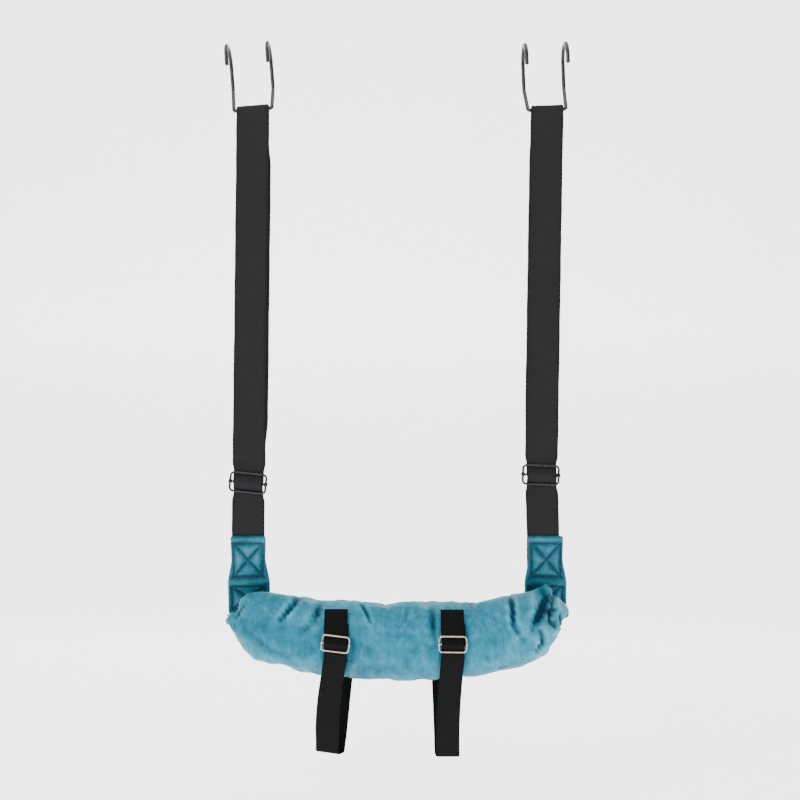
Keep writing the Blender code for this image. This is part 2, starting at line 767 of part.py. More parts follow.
def main():
    clear_scene()
    black_wire = make_material("black_wire", (0.03, 0.03, 0.032), 0.35, 0.6)
    webbing = make_material("black_webbing", (0.03, 0.03, 0.032), 0.8)
    small_webbing = make_material("small_black_webbing", (0.012, 0.012, 0.013), 0.8)
    velvet = make_material("teal_velvet", (0.07, 0.27, 0.35), 0.6)
    filling = make_material("polyester_filling", (0.85, 0.85, 0.83), 0.9)
    nickel = make_material("nickel_wire", (0.75, 0.70, 0.64), 0.2, 1.0)
    thread = make_material("teal_thread", (0.03, 0.16, 0.20), 0.7)
    black_thread = make_material("black_thread", (0.02, 0.02, 0.02), 0.7)
    for side in SIDES:
        make_hook(side, black_wire)
        make_strap(side, webbing, black_wire)
        make_tab(side, webbing, velvet, thread)
        make_loop(side, small_webbing, nickel, black_thread)
    make_cover(velvet)
    make_filling(filling)
    make_band(webbing, black_thread)


main()
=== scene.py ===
"""Looks for the hanging padded sling: hooks, webbing, adjusters, quilted tabs, velvet bolster and small loops."""
import json
from math import acos, asin, atan2, ceil, copysign, cos, degrees, dist, exp, hypot, pi, radians, sin, sqrt, tan

import bpy
import numpy as np
from mathutils import Matrix, Vector


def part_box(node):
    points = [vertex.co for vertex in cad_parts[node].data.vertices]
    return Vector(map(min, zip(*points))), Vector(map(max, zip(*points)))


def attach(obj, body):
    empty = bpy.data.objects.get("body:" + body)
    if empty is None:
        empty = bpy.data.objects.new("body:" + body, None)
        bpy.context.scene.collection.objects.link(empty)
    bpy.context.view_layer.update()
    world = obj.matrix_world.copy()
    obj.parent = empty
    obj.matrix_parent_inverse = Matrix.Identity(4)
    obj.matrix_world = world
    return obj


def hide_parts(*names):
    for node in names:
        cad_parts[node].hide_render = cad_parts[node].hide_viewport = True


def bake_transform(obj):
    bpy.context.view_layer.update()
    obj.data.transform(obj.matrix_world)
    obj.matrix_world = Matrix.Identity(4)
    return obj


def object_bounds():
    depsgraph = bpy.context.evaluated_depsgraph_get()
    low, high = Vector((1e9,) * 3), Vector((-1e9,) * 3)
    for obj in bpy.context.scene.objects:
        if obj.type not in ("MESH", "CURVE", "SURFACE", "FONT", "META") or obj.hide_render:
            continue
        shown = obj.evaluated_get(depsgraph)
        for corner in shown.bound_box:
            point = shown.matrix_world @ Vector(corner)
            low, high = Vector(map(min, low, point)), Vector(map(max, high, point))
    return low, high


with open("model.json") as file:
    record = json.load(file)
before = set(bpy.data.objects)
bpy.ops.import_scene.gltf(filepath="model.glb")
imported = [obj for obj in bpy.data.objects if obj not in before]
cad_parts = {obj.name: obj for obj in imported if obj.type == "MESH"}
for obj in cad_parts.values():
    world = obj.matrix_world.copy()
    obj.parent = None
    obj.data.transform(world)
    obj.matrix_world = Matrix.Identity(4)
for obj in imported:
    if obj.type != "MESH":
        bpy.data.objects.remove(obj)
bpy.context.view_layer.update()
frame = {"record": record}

SIDES = ("left", "right")
BEHAVIOUR = frame["record"]["behaviour"]
JOINTS = {joint["name"]: joint for joint in BEHAVIOUR["joints"]}
RATIOS = {coupling["joint"]: coupling["ratio"] for coupling in BEHAVIOUR["couplings"]}
CROSSBAR_Z = JOINTS["sling_swing"]["pos_m"][2]

GAP = 0.0004
STRAP_X = 0.225
HOOK_WIRE_R = 0.0030
CURL_R = 0.0255
TIP_LENGTH = 0.010
PRONG_HALF_TOP = 0.031
PRONG_HALF_BOTTOM = 0.029
SHANK_LENGTH = 0.036
HOOK_HEIGHT = 0.0995
HOOK_CORNER_R = 0.0042
SHANK_BEND_R = 0.012
HOOK_TILT = {"left": 4.5, "right": 2.3}

WEB_W = 0.050
WEB_T = 0.0018
LAYER_Y = (WEB_T + GAP) / 2
FOLD_R = 0.0047 + WEB_T / 2
FOLD_LEG = 0.048
FOLD_SPARE = 0.0006

ADJ_WIRE_R = 0.00175
ADJ_W = 0.0580
ADJ_H = 0.032
ADJ_CORNER_R = 0.0055
ADJ_TILT = {"left": 6.0, "right": 2.0}
THREAD_W = 0.0456
BACK_LAYER_SHIFT = {"left": 0.0035, "right": -0.0010}
BASE_LEAN = 0.123
BASE_LEAN_R = 0.030
TAB_LENGTH = 0.147
TAB_HEM = 0.004
TAB_HALF_BOTTOM = 0.032
SEAMS_PER_BOX = 6
BAND_SLANT = (0.0375, 0.0230)
THREAD_HALF = 0.030
SEWN_END = 0.046
NEST = 0.4

LOOP_W = 0.035
LOOP_T = 0.0014
BUCKLE_WIRE_R = 0.00125
BUCKLE_W = 0.0425
BUCKLE_H = 0.025
BUCKLE_CORNER_R = 0.0045
BUCKLE_ANGLE = 4.0
BUCKLE_TILT = {"left": 7.0, "right": 0.5}
TAIL_ANGLE = 49.0
THREAD_ANGLE = 22.0
ANCHOR_ANGLES = (27.0, 25.0)
ANCHOR_SHIFT = 0.0024
LOOP_THREAD_W = 0.0335
LOOP_FOLD_SHARE = 0.35
LOOP_TILT = {"left": 8.0, "right": 0.0}
LOOP_BOW = {"left": 0.0045, "right": 0.0025}
TILT_FROM_Z, TILT_TO_Z = -0.985, -1.045

FLOOR_GLOW = 2.0
WORLD_GLOW = 0.75
CAMERA_PLACE = (0, -1.70, -0.5407)
CAMERA_LENS = 50
LIGHTS = (
    ("key", (-1.2, -1.7, 0.9), 1.0, 46),
    ("fill", (1.6, -2.0, -0.2), 1.6, 14),
    ("top", (0.0, -0.3, 1.6), 1.4, 30),
)
X_AXIS, Y_AXIS = Vector((1, 0, 0)), Vector((0, 1, 0))


def strap_x(side):
    return STRAP_X if side == "right" else -STRAP_X


def centre_of(node):
    low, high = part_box(node)
    return (Vector(low) + Vector(high)) / 2


def smooth(share):
    share = min(1.0, max(0.0, share))
    return share * share * (3 - 2 * share)


# ---- materials ----


class Nodes:
    """A material's node tree with short calls to add to it."""

    def __init__(self, name):
        self.material = bpy.data.materials.new(name)
        self.material.use_nodes = True
        self.tree = self.material.node_tree
        self.shader = self.tree.nodes["Principled BSDF"]

    def add(self, kind, inputs=None, **settings):
        node = self.tree.nodes.new(kind)
        for key, value in settings.items():
            setattr(node, key, value)
        for key, value in (inputs or {}).items():
            self.put(node, key, value)
        return node

    def put(self, node, key, value):
        """Sets an input, or links it where value is another node's output."""
        if isinstance(value, bpy.types.NodeSocket):
            self.tree.links.new(value, node.inputs[key])
        else:
            node.inputs[key].default_value = value

    def set(self, **values):
        for key, value in values.items():
            self.put(self.shader, key.replace("_", " "), value)

    def coords(self, scale=(1, 1, 1), turn=(0, 0, 0)):
        """Object coordinates in metres, scaled and turned."""
        place = self.add("ShaderNodeTexCoord").outputs["Object"]
        mapping = self.add("ShaderNodeMapping", {"Vector": place, "Scale": scale, "Rotation": turn})
        return mapping.outputs["Vector"]

    def noise(self, vector, scale, detail=3.0, rough=0.55, distortion=0.0):
        values = {"Vector": vector, "Scale": scale, "Detail": detail, "Roughness": rough, "Distortion": distortion}
        return self.add("ShaderNodeTexNoise", values).outputs["Fac"]

    def wave(self, vector, scale, direction, profile="SIN"):
        values = {"Vector": vector, "Scale": scale, "Distortion": 0.0}
        node = self.add("ShaderNodeTexWave", values, bands_direction=direction, wave_profile=profile)
        return node.outputs["Fac"]

    def attribute(self, name):
        return self.add("ShaderNodeAttribute", attribute_name=name).outputs["Fac"]

    def math(self, operation, a, b=0.0, clamp=False):
        node = self.add("ShaderNodeMath", operation=operation, use_clamp=clamp)
        self.put(node, 0, a)
        self.put(node, 1, b)
        return node.outputs[0]

    def times(self, a, b, clamp=False):
        return self.math("MULTIPLY", a, b, clamp)

    def plus(self, a, b):
        return self.math("ADD", a, b)

    def ramp(self, value, stops):
        """Maps a value through (position, colour) stops."""
        node = self.add("ShaderNodeValToRGB", {"Fac": value})
        elements = node.color_ramp.elements
        while len(elements) < len(stops):
            elements.new(0.5)
        for element, (position, colour) in zip(elements, stops):
            element.position = position
            element.color = (*colour, 1.0)
        return node.outputs["Color"]

    def mix(self, share, a, b, kind="MIX"):
        node = self.add("ShaderNodeMix", data_type="RGBA", blend_type=kind)
        self.put(node, 0, share)
        self.put(node, 6, a if isinstance(a, bpy.types.NodeSocket) else (*a, 1.0))
        self.put(node, 7, b if isinstance(b, bpy.types.NodeSocket) else (*b, 1.0))
        return node.outputs[2]

    def bump(self, height, strength, distance, after=None):
        values = {"Height": height, "Strength": strength, "Distance": distance}
        if after is not None:
            values["Normal"] = after
        return self.add("ShaderNodeBump", values).outputs["Normal"]


def webbing_material(name, dark, light, rib_pitch, rib_depth, sheen, gloss):
    """Ribbed flat webbing: weft ribs across it, warp lines along it, painted shade on the rounded selvedges and
    between the ribs, a little fluff.
    """
    m = Nodes(name)
    across = m.attribute("across")
    run = m.attribute("run")
    rib = m.math("SINE", m.times(run, 2 * pi / rib_pitch))
    warp_lines = m.math("SINE", m.times(across, 74.0))
    fluff = m.noise(m.coords(), 900.0, 2.0)
    patches = m.noise(m.coords((1, 1, 0.35)), 26.0, 4.0)
    edge = m.math("POWER", m.math("ABSOLUTE", across), 9.0)
    colour = m.mix(patches, dark, light)
    colour = m.mix(m.times(fluff, 0.35), colour, tuple(c * 1.9 for c in light))
    # painted shade: the colour darkens towards both rounded selvedges
    colour = m.mix(m.times(edge, 0.75, True), colour, tuple(c * 0.3 for c in dark))
    shade = m.times(m.plus(rib, 1.0), 0.12)
    colour = m.mix(shade, colour, tuple(c * 0.4 for c in dark))
    normal = m.bump(rib, 0.55, rib_depth)
    normal = m.bump(warp_lines, 0.22, rib_depth * 0.5, normal)
    normal = m.bump(fluff, 0.35, 0.0003, normal)
    rough = m.plus(m.times(patches, 0.12), 0.62)
    m.set(Base_Color=colour, Roughness=rough, Normal=normal)
    m.set(Sheen_Weight=sheen, Sheen_Roughness=0.5, Sheen_Tint=(0.75, 0.77, 0.82, 1.0), Specular_IOR_Level=gloss)
    return m.material


def velvet_material(name, shade):
    """Crushed velvet: light and dark patches where the pile lies over, painted shade in the folds and seams, painted
    highlights on puffs and ridges, bright rims.
    """
    m = Nodes(name)
    crease = m.attribute("crease")
    shine = m.attribute("shine")
    lay = m.noise(m.coords((1.0, 1.0, 1.7), (0, 0.6, 0)), 15.0, 3.0, 0.55, 1.0)
    crush = m.noise(m.coords((1.0, 1.0, 0.5), (0, -0.75, 0)), 46.0, 4.0, 0.6, 2.4)
    streak = m.noise(m.coords((1.6, 1.0, 0.4), (0, 0.5, 0)), 95.0, 3.0, 0.6, 1.5)
    pile = m.noise(m.coords(), 1500.0, 2.0)
    patches = m.times(lay, 0.48)
    # the painted highlight lifts puff tops and ridges towards the lighter stops
    for layer, share in ((crush, 0.34), (streak, 0.18), (shine, 0.17)):
        patches = m.plus(patches, m.times(layer, share))
    stops = (
        (0.32, (0.003, 0.062, 0.105)),
        (0.44, (0.008, 0.125, 0.190)),
        (0.55, (0.018, 0.180, 0.265)),
        (0.66, (0.045, 0.260, 0.360)),
        (0.80, (0.120, 0.390, 0.500)),
    )
    stops = [(place, tuple(c * shade for c in colour)) for place, colour in stops]
    colour = m.ramp(patches, stops)
    colour = m.mix(m.times(pile, 0.30), colour, (0.008, 0.060, 0.090))
    # painted shade: the colour darkens in folds and seams, following the painted shade attribute
    colour = m.mix(crease, colour, (0.001, 0.018, 0.032))
    normal = m.bump(crush, 0.55, 0.0022)
    normal = m.bump(streak, 0.35, 0.0010, normal)
    normal = m.bump(pile, 0.40, 0.0004, normal)
    rough = m.plus(m.times(lay, 0.2), 0.42)
    m.set(Base_Color=colour, Roughness=rough, Normal=normal)
    m.set(Sheen_Weight=0.22 * shade, Sheen_Roughness=0.28, Sheen_Tint=(0.35, 0.8, 0.95, 1), Specular_IOR_Level=0.1)
    return m.material


def thread_material(name, colour):
    """Twisted sewing thread, painted lighter along the twist as a highlight on each ply."""
    m = Nodes(name)
    twist = m.wave(m.coords((1, 1, 1), (0.4, 0.7, 0)), 900.0, "DIAGONAL")
    fluff = m.noise(m.coords(), 2500.0, 2.0)
    # painted highlight: lighter bands along the twist
    shade = m.mix(twist, colour, tuple(c * 1.8 for c in colour))
    shade = m.mix(m.times(fluff, 0.3), shade, tuple(c * 0.5 for c in colour))
    m.set(Base_Color=shade, Normal=m.bump(twist, 0.4, 0.0001), Roughness=m.plus(fluff, 0.2))
    m.set(Sheen_Weight=0.3)
    return m.material


def black_wire_material():
    """Black coated steel wire with a satin lustre, grey here and there as wear and as painted glints."""
    m = Nodes("black_wire")
    speckle = m.noise(m.coords(), 700.0, 3.0)
    scuff = m.noise(m.coords((1, 1, 0.4)), 60.0, 5.0, 0.65)
    wear_and_glint = m.times(m.math("SUBTRACT", scuff, 0.57, True), 3.2, True)
    colour = m.mix(speckle, (0.004, 0.004, 0.005), (0.010, 0.010, 0.011))
    # grey patches: wear, and painted glints as well
    colour = m.mix(wear_and_glint, colour, (0.045, 0.045, 0.048))
    rough = m.plus(m.times(scuff, 0.22), 0.16)
    m.set(Base_Color=colour, Roughness=rough, Normal=m.bump(speckle, 0.12, 0.0002))
    m.set(Metallic=0.0, Specular_IOR_Level=0.28, Coat_Weight=0.12, Coat_Roughness=0.2)
    return m.material


def nickel_material():
    """Nickel-plated wire, warm and bright, with fine polishing lines and dull spots."""
    m = Nodes("nickel_wire")
    lines = m.noise(m.coords((0.3, 1, 1)), 1400.0, 2.0)
    dull = m.noise(m.coords(), 130.0, 4.0)
    colour = m.mix(dull, (0.58, 0.47, 0.37), (0.34, 0.28, 0.22))
    rough = m.plus(m.times(dull, 0.22), 0.10)
    m.set(Base_Color=colour, Roughness=rough, Normal=m.bump(lines, 0.08, 0.0001))
    m.set(Metallic=1.0)
    return m.material


def floor_material():
    m = Nodes("pale_floor")
    grain = m.noise(m.coords(), 3.0, 3.0)
    m.set(Base_Color=m.mix(grain, (0.90, 0.90, 0.90), (0.93, 0.93, 0.93)), Roughness=0.9)
    m.set(Emission_Color=(1.0, 1.0, 1.0, 1.0), Emission_Strength=FLOOR_GLOW)
    return m.material


BLACK_WEB = webbing_material(
    "black_webbing", (0.005, 0.005, 0.0054), (0.0105, 0.0105, 0.011), 0.0017, 0.00022, 0.04, 0.1
)
SMALL_WEB = webbing_material(
    "small_black_webbing", (0.0015, 0.0015, 0.0016), (0.0035, 0.0035, 0.0037), 0.0021, 0.0002, 0.01, 0.05
)
VELVET = velvet_material("teal_velvet", 1.0)
# the tabs get a darker copy of the velvet: painted shade, together with pile that lies downward
SHADED_TAB_VELVET = velvet_material("shaded_quilted_teal_velvet", 0.5)
THREADS = {
    "teal": thread_material("teal_thread", (0.006, 0.045, 0.068)),
    "black": thread_material("black_thread", (0.005, 0.005, 0.0055)),
}
BLACK_WIRE = black_wire_material()
NICKEL = nickel_material()


# ---- mesh helpers ----


def add_object(name, data):
    ob = bpy.data.objects.new(name, data)
    bpy.context.scene.collection.objects.link(ob)
    return ob


def set_attributes(mesh, **attributes):
    for key, values in attributes.items():
        mesh.attributes.new(key, "FLOAT", "POINT").data.foreach_set("value", np.array(values, np.float32))


def mesh_object(name, verts, faces, material, **attributes):
    mesh = bpy.data.meshes.new(name)
    mesh.from_pydata([tuple(v) for v in verts], [], faces)
    mesh.shade_smooth()
    set_attributes(mesh, **attributes)
    mesh.materials.append(material)
    return add_object(name, mesh)


def ring_faces(n_rings, n_points, closed=False):
    faces = []
    for i in range(n_rings if closed else n_rings - 1):
        j = (i + 1) % n_rings
        for k in range(n_points):
            m = (k + 1) % n_points
            a, b = i * n_points, j * n_points
            faces.append((a + k, a + m, b + m, b + k))
    return faces


def tube_faces(n_rings, n_points):
    """Faces of an open tube of rings, with a cap at each end."""
    last = range((n_rings - 1) * n_points, n_rings * n_points)
    return [*ring_faces(n_rings, n_points), tuple(reversed(range(n_points))), tuple(last)]


def shifted(faces, base):
    return [tuple(base + i for i in face) for face in faces]


def running_length(points):
    """Distance along the points, at each of them."""
    at = [0.0]
    for a, b in zip(points, points[1:]):
        at.append(at[-1] + (b - a).length)
    return at


def crossed_box(x0, z0, x1, z1):
    """The sides of a box and its diagonals, as pairs of points."""
    corners = [(x0, z0), (x1, z0), (x1, z1), (x0, z1)]
    return [*zip(corners, corners[1:] + corners[:1]), (corners[0], corners[2]), (corners[1], corners[3])]


def resampled(path, step):
    """The path with a point at every step along it."""
    path = np.array([tuple(p) for p in path])
    lengths = np.linalg.norm(np.diff(path, axis=0), axis=1)
    at = np.concatenate([[0], np.cumsum(lengths)])
    count = max(2, int(round(at[-1] / step)) + 1)
    wanted = np.linspace(0, at[-1], count)
    return [Vector([np.interp(w, at, path[:, k]) for k in range(3)]) for w in wanted]


def softened(path, passes=2):
    """Rounds the small kinks off a path and keeps its ends."""
    path = [p.copy() for p in path]
    for _ in range(passes):
        middle = [(a + b * 2 + c) / 4 for a, b, c in zip(path, path[1:], path[2:])]
        path = [path[0], *middle, path[-1]]
    return path


def tangent_list(path, closed=False):
    n = len(path)
    out = []
    for i in range(n):
        before = path[(i - 1) % n] if closed or i else path[i]
        after = path[(i + 1) % n] if closed or i < n - 1 else path[i]
        out.append((after - before).normalized())
    return out


def wire(name, path, radius, material, sides=20, closed=False, round_ends=True):
    """A round wire along a path, with domed ends."""
    tangents = tangent_list(path, closed)
    rings, normal, last = [], None, None
    for p, t in zip(path, tangents):
        if normal is None:
            normal = t.orthogonal().normalized()
        else:
            normal = last.rotation_difference(t) @ normal
            normal = (normal - t * normal.dot(t)).normalized()
        last = t
        rings.append((p, t, normal))
    spec = [(*ring, radius) for ring in rings]
    if not closed and round_ends:
        p, t, normal, r = spec[0]
        start = [(p - t * r * 0.5 * sin(a), t, normal, max(r * 0.02, r * cos(a))) for a in (1.45, 1.0, 0.5)]
        p, t, normal, r = spec[-1]
        end = [(p + t * r * 0.5 * sin(a), t, normal, max(r * 0.02, r * cos(a))) for a in (0.5, 1.0, 1.45)]
        spec = start + spec + end
    verts = []
    for p, t, normal, r in spec:
        other = t.cross(normal)
        for k in range(sides):
            a = 2 * pi * k / sides
            verts.append(p + (normal * cos(a) + other * sin(a)) * r)
    faces = ring_faces(len(spec), sides, True) if closed else tube_faces(len(spec), sides)
    return mesh_object(name, verts, faces, material)


def wrapped(start, pin, radius, end, step=radians(6)):
    """Points (y, z) of a taut band from start, round the pin towards growing angles, to end."""
    start, pin, end = Vector(start), Vector(pin), Vector(end)

    def polar(point):
        arm = point - pin
        return atan2(arm.y, arm.x), acos(min(1, radius / arm.length))

    base_a, reach_a = polar(start)
    base_b, reach_b = polar(end)
    first, last = base_a + reach_a, base_b - reach_b
    while last < first:
        last += 2 * pi
    steps = max(1, ceil((last - first) / step))
    turn = [first + (last - first) * i / steps for i in range(steps + 1)]
    return [tuple(start), *[tuple(pin + Vector((cos(t), sin(t))) * radius) for t in turn], tuple(end)]


def section(half_width, half_thick, n_across):
    """Outline of a webbing's cross section as (across, through), with round selvedges."""
    flat = half_width - half_thick
    out = []
    for sign in (1, -1):
        out += [(sign * (2 * flat * i / n_across - flat), sign * half_thick) for i in range(n_across + 1)]
        for i in range(1, 4):
            a = sign * pi / 2 - pi * i / 4
            out.append((sign * flat + half_thick * cos(a), half_thick * sin(a)))
    return out


def web_rings(path, width_at, thickness, n_across, warp=None, rib=0.0, rib_pitch=0.002, wave=0.0, seed=0.0):
    """Cross sections of webbing along a path: lists of points, with run and across for each."""
    tangents = tangent_list(path)
    rings, run = [], 0.0
    for i, (p, t) in enumerate(zip(path, tangents)):
        if i:
            run += (p - path[i - 1]).length
        profile = Vector((0, t.y, t.z)).normalized()
        up = profile.cross(X_AXIS)
        half = width_at(i, p) / 2
        thick = thickness / 2 * (1 + rib * cos(2 * pi * run / rib_pitch))
        lift = wave * (sin(run * 31 + seed) + 0.6 * sin(run * 73 + seed * 2.3))
        half *= 1 + 0.006 * sin(run * 55 + seed) + 0.004 * sin(run * 131 + seed * 1.7)
        ring = []
        for across, through in section(half, thick, n_across):
            share = across / half
            cup = wave * 0.8 * share * share * sin(run * 17 + seed)
            v = p + X_AXIS * across + up * (through + lift + cup)
            ring.append((warp(v) if warp else v, run, share))
        rings.append(ring)
    return rings


def web_from_rings(name, rings, material):
    """Webbing as one mesh, from the cross sections of web_rings."""
    verts, run, across = zip(*[point for ring in rings for point in ring])
    return mesh_object(name, verts, tube_faces(len(rings), len(rings[0])), material, run=run, across=across)


def shear(centre, tilt, inner, outer, turn=None):
    """A warp that tilts webbing with its buckle near centre, and leaves it alone further off."""
    turn = turn or Matrix.Identity(3)
    back = turn.transposed()

    def warp(v):
        p = back @ (v - centre)
        p.z -= p.x * tan(radians(tilt)) * smooth((outer - abs(p.z)) / (outer - inner))
        return centre + turn @ p

    return warp


# a stitch: share of its length, thickness, and how far it stands off the cloth
STITCH_PROFILE = (
    (0.0, 0.15, -1.2), (0.1, 0.8, -0.4), (0.35, 1.0, 0.5), (0.65, 1.0, 0.5), (0.9, 0.8, -0.4), (1.0, 0.15, -1.2),
)


def stitch_row(points, normals, pitch=0.0031, share=0.74, radius=0.00032, sides=6):
    """Vertices and faces of one row of stitches laid along points on cloth."""
    at = running_length(points)

    def where(distance):
        for i in range(len(at) - 1):
            if distance <= at[i + 1] or i == len(at) - 2:
                f = (distance - at[i]) / max(1e-9, at[i + 1] - at[i])
                return points[i].lerp(points[i + 1], f), normals[i].lerp(normals[i + 1], f).normalized()

    verts, faces = [], []
    for k in range(max(1, int(at[-1] / pitch))):
        a, na = where((k + (1 - share) / 2) * pitch)
        b, nb = where((k + (1 + share) / 2) * pitch)
        along, normal = (b - a), (na + nb).normalized()
        side = along.cross(normal).normalized()
        base = len(verts)
        for f, swell, lift in STITCH_PROFILE:
            middle = a + along * f + normal * radius * lift
            for j in range(sides):
                angle = 2 * pi * j / sides
                verts.append(middle + (side * cos(angle) + normal * sin(angle)) * radius * swell)
        faces += shifted(tube_faces(len(STITCH_PROFILE), sides), base)
    return verts, faces


def sew(name, rows, colour, body, *nodes):
    """Lays rows of stitches, each a list of points and a list of normals, as one finished piece."""
    verts, faces = [], []
    for points, normals in rows:
        v, f = stitch_row(points, normals)
        faces += shifted(f, len(verts))
        verts += v
    ob = mesh_object(name, verts, faces, THREADS[colour])
    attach(ob, body)
    if nodes:
        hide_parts(*nodes)


def finish_piece(ob, body, slot, *nodes):
    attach(ob, body)
    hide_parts(*nodes)


def blend_piece(ob, nodes, start, end):
    """Hides the imported parts a piece replaces and bakes its placement into its mesh."""
    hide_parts(*nodes)
    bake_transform(ob)
    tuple(start)
    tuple(end)


# ---- hooks ----


def corner_arc(before, corner, after, radius, steps):
    a, b = (before - corner).normalized(), (after - corner).normalized()
    turn = pi - a.angle(b)
    reach = radius * tan(turn / 2)
    centre = corner + (a + b).normalized() * radius / cos(turn / 2)
    arm = corner + a * reach - centre
    axis = arm.cross(corner + b * reach - centre).normalized()
    return [centre + Matrix.Rotation(turn * i / steps, 3, axis) @ arm for i in range(steps + 1)]


def hook_path():
    centre_z = HOOK_HEIGHT - CURL_R
    half = [Vector((PRONG_HALF_TOP, -CURL_R, centre_z - TIP_LENGTH))]
    for i in range(41):
        t = pi * (1 - i / 40)
        half.append(Vector((PRONG_HALF_TOP, CURL_R * cos(t), centre_z + CURL_R * sin(t))))
    shank_end = Vector((PRONG_HALF_TOP, CURL_R, centre_z - SHANK_LENGTH))
    corner = Vector((PRONG_HALF_BOTTOM, 0, 0))
    other = Vector((-PRONG_HALF_BOTTOM, 0, 0))
    half += corner_arc(half[-1], shank_end, corner, SHANK_BEND_R, 12)
    half += corner_arc(half[-1], corner, other, HOOK_CORNER_R, 14)
    mirrored = [Vector((-p.x, p.y, p.z)) for p in reversed(half)]
    return half + [Vector((0, 0, 0))] + mirrored


def make_hook(side):
    place = Matrix.Translation((strap_x(side), 0, CROSSBAR_Z))
    place = place @ Matrix.Rotation(radians(-HOOK_TILT[side]), 4, "Y")
    path = resampled([place @ p for p in hook_path()], 0.0012)
    ob = wire(f"{side}_hook_wire", path, HOOK_WIRE_R, BLACK_WIRE, 24)
    finish_piece(ob, "hooks", "black_wire", f"{side}_hook")


# ---- tri-glides ----


def frame_points(width, height, corner_r, wire_r):
    w, h = width / 2 - wire_r, height / 2 - wire_r
    points = []
    for start, x, z in ((0, w, h), (90, -w, h), (180, -w, -h), (270, w, -h)):
        cx = x - copysign(corner_r, x)
        cz = z - copysign(corner_r, z)
        for i in range(13):
            t = radians(start + 90 * i / 12)
            points.append(Vector((cx + corner_r * cos(t), 0, cz + corner_r * sin(t))))
    return points


def make_triglide(name, centre, size, tilt, pitch, material, body, slot):
    """A bent wire frame, its ends meeting under the bar's sleeve, and the bar with rolled ends."""
    width, height, corner_r, wire_r = size
    turn = Matrix.Rotation(radians(pitch), 3, "X") @ Matrix.Rotation(radians(tilt), 3, "Y")
    loop = frame_points(width, height, corner_r, wire_r)
    ring = wire(f"{name}_frame_wire", [centre + turn @ p for p in loop], wire_r, material, closed=True)
    finish_piece(ring, body, slot, f"{name}_frame")
    reach = width / 2 - wire_r
    inner = wire_r + GAP * 0.5
    wall = wire_r * 0.55
    bar_path = [Vector((reach - inner * 0.9, 0, 0)) * f for f in np.linspace(-1, 1, 25)]
    bar_path = [centre + turn @ p for p in bar_path]
    bar = wire(f"{name}_bar_wire", bar_path, wire_r * 0.96, material, round_ends=False)
    # a sleeve at each end, curled round the side wire
    verts = [v.co.copy() for v in bar.data.vertices]
    faces = [tuple(f.vertices) for f in bar.data.polygons]
    sides, length = 28, 3.1 * wire_r
    for sign in (-1, 1):
        at = Vector((sign * reach, 0, 0))
        base = len(verts)
        profile = (
            (inner + wall * 0.75, -0.5), (inner + wall, -0.38), (inner + wall * 1.04, 0.0), (inner + wall, 0.38),
            (inner + wall * 0.75, 0.5), (inner, 0.46), (inner, -0.46),
        )
        for radius, along in profile:
            for k in range(sides):
                a = 2 * pi * k / sides
                spot = Vector((radius * cos(a), radius * sin(a), along * length))
                verts.append(centre + turn @ (at + spot))
        faces += shifted(ring_faces(len(profile), sides, closed=True), base)
    bpy.data.objects.remove(bar, do_unlink=True)
    bar = mesh_object(f"{name}_bar", verts, faces, material)
    finish_piece(bar, body, slot, f"{name}_bar")


def make_adjuster(side):
    centre = centre_of(f"{side}_adjuster_frame")
    size = (ADJ_W, ADJ_H, ADJ_CORNER_R, ADJ_WIRE_R)
    make_triglide(f"{side}_adjuster", centre, size, ADJ_TILT[side], 0, BLACK_WIRE, "adjusters", "black_wire")


# ---- main straps ----


def outer_edge(side, node, half):
    """Middle of a piece's outermost cross section, from its box and its half width."""
    low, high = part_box(f"{side}_{node}")
    return low[0] + half if side == "left" else high[0] - half


def strap_centre_x(side):
    """The strap's sideways place by height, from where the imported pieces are."""
    tab_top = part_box(f"{side}_tab")[1][2]
    thread = centre_of(f"{side}_strap_thread")
    knots = (
        (tab_top - BASE_LEAN, outer_edge(side, "strap_base", WEB_W / 2)),
        (tab_top, outer_edge(side, "strap_lower", WEB_W / 2)),
        (thread.z, thread.x),
        (CROSSBAR_Z, strap_x(side)),
    )
    heights, places = np.array(knots).T
    return lambda z: float(np.interp(z, heights, places))


def base_line(side):
    """Middle of the webbing below the adjuster as (y, z): down, leaning back behind the tab, down again."""
    low_box, high_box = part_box(f"{side}_strap_base")
    base_y = high_box[1] - WEB_T / 2
    tab_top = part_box(f"{side}_tab")[1][2]
    corners = [Vector((0, y, z)) for y, z in (
        (-LAYER_Y, tab_top + 0.03), (-LAYER_Y, tab_top + 0.003), (base_y, tab_top - BASE_LEAN), (base_y, low_box[2]),
    )]
    line = [corners[0]]
    for before, corner, after in zip(corners, corners[1:], corners[2:]):
        line += corner_arc(before, corner, after, BASE_LEAN_R, 12)
    return line + [corners[-1]]


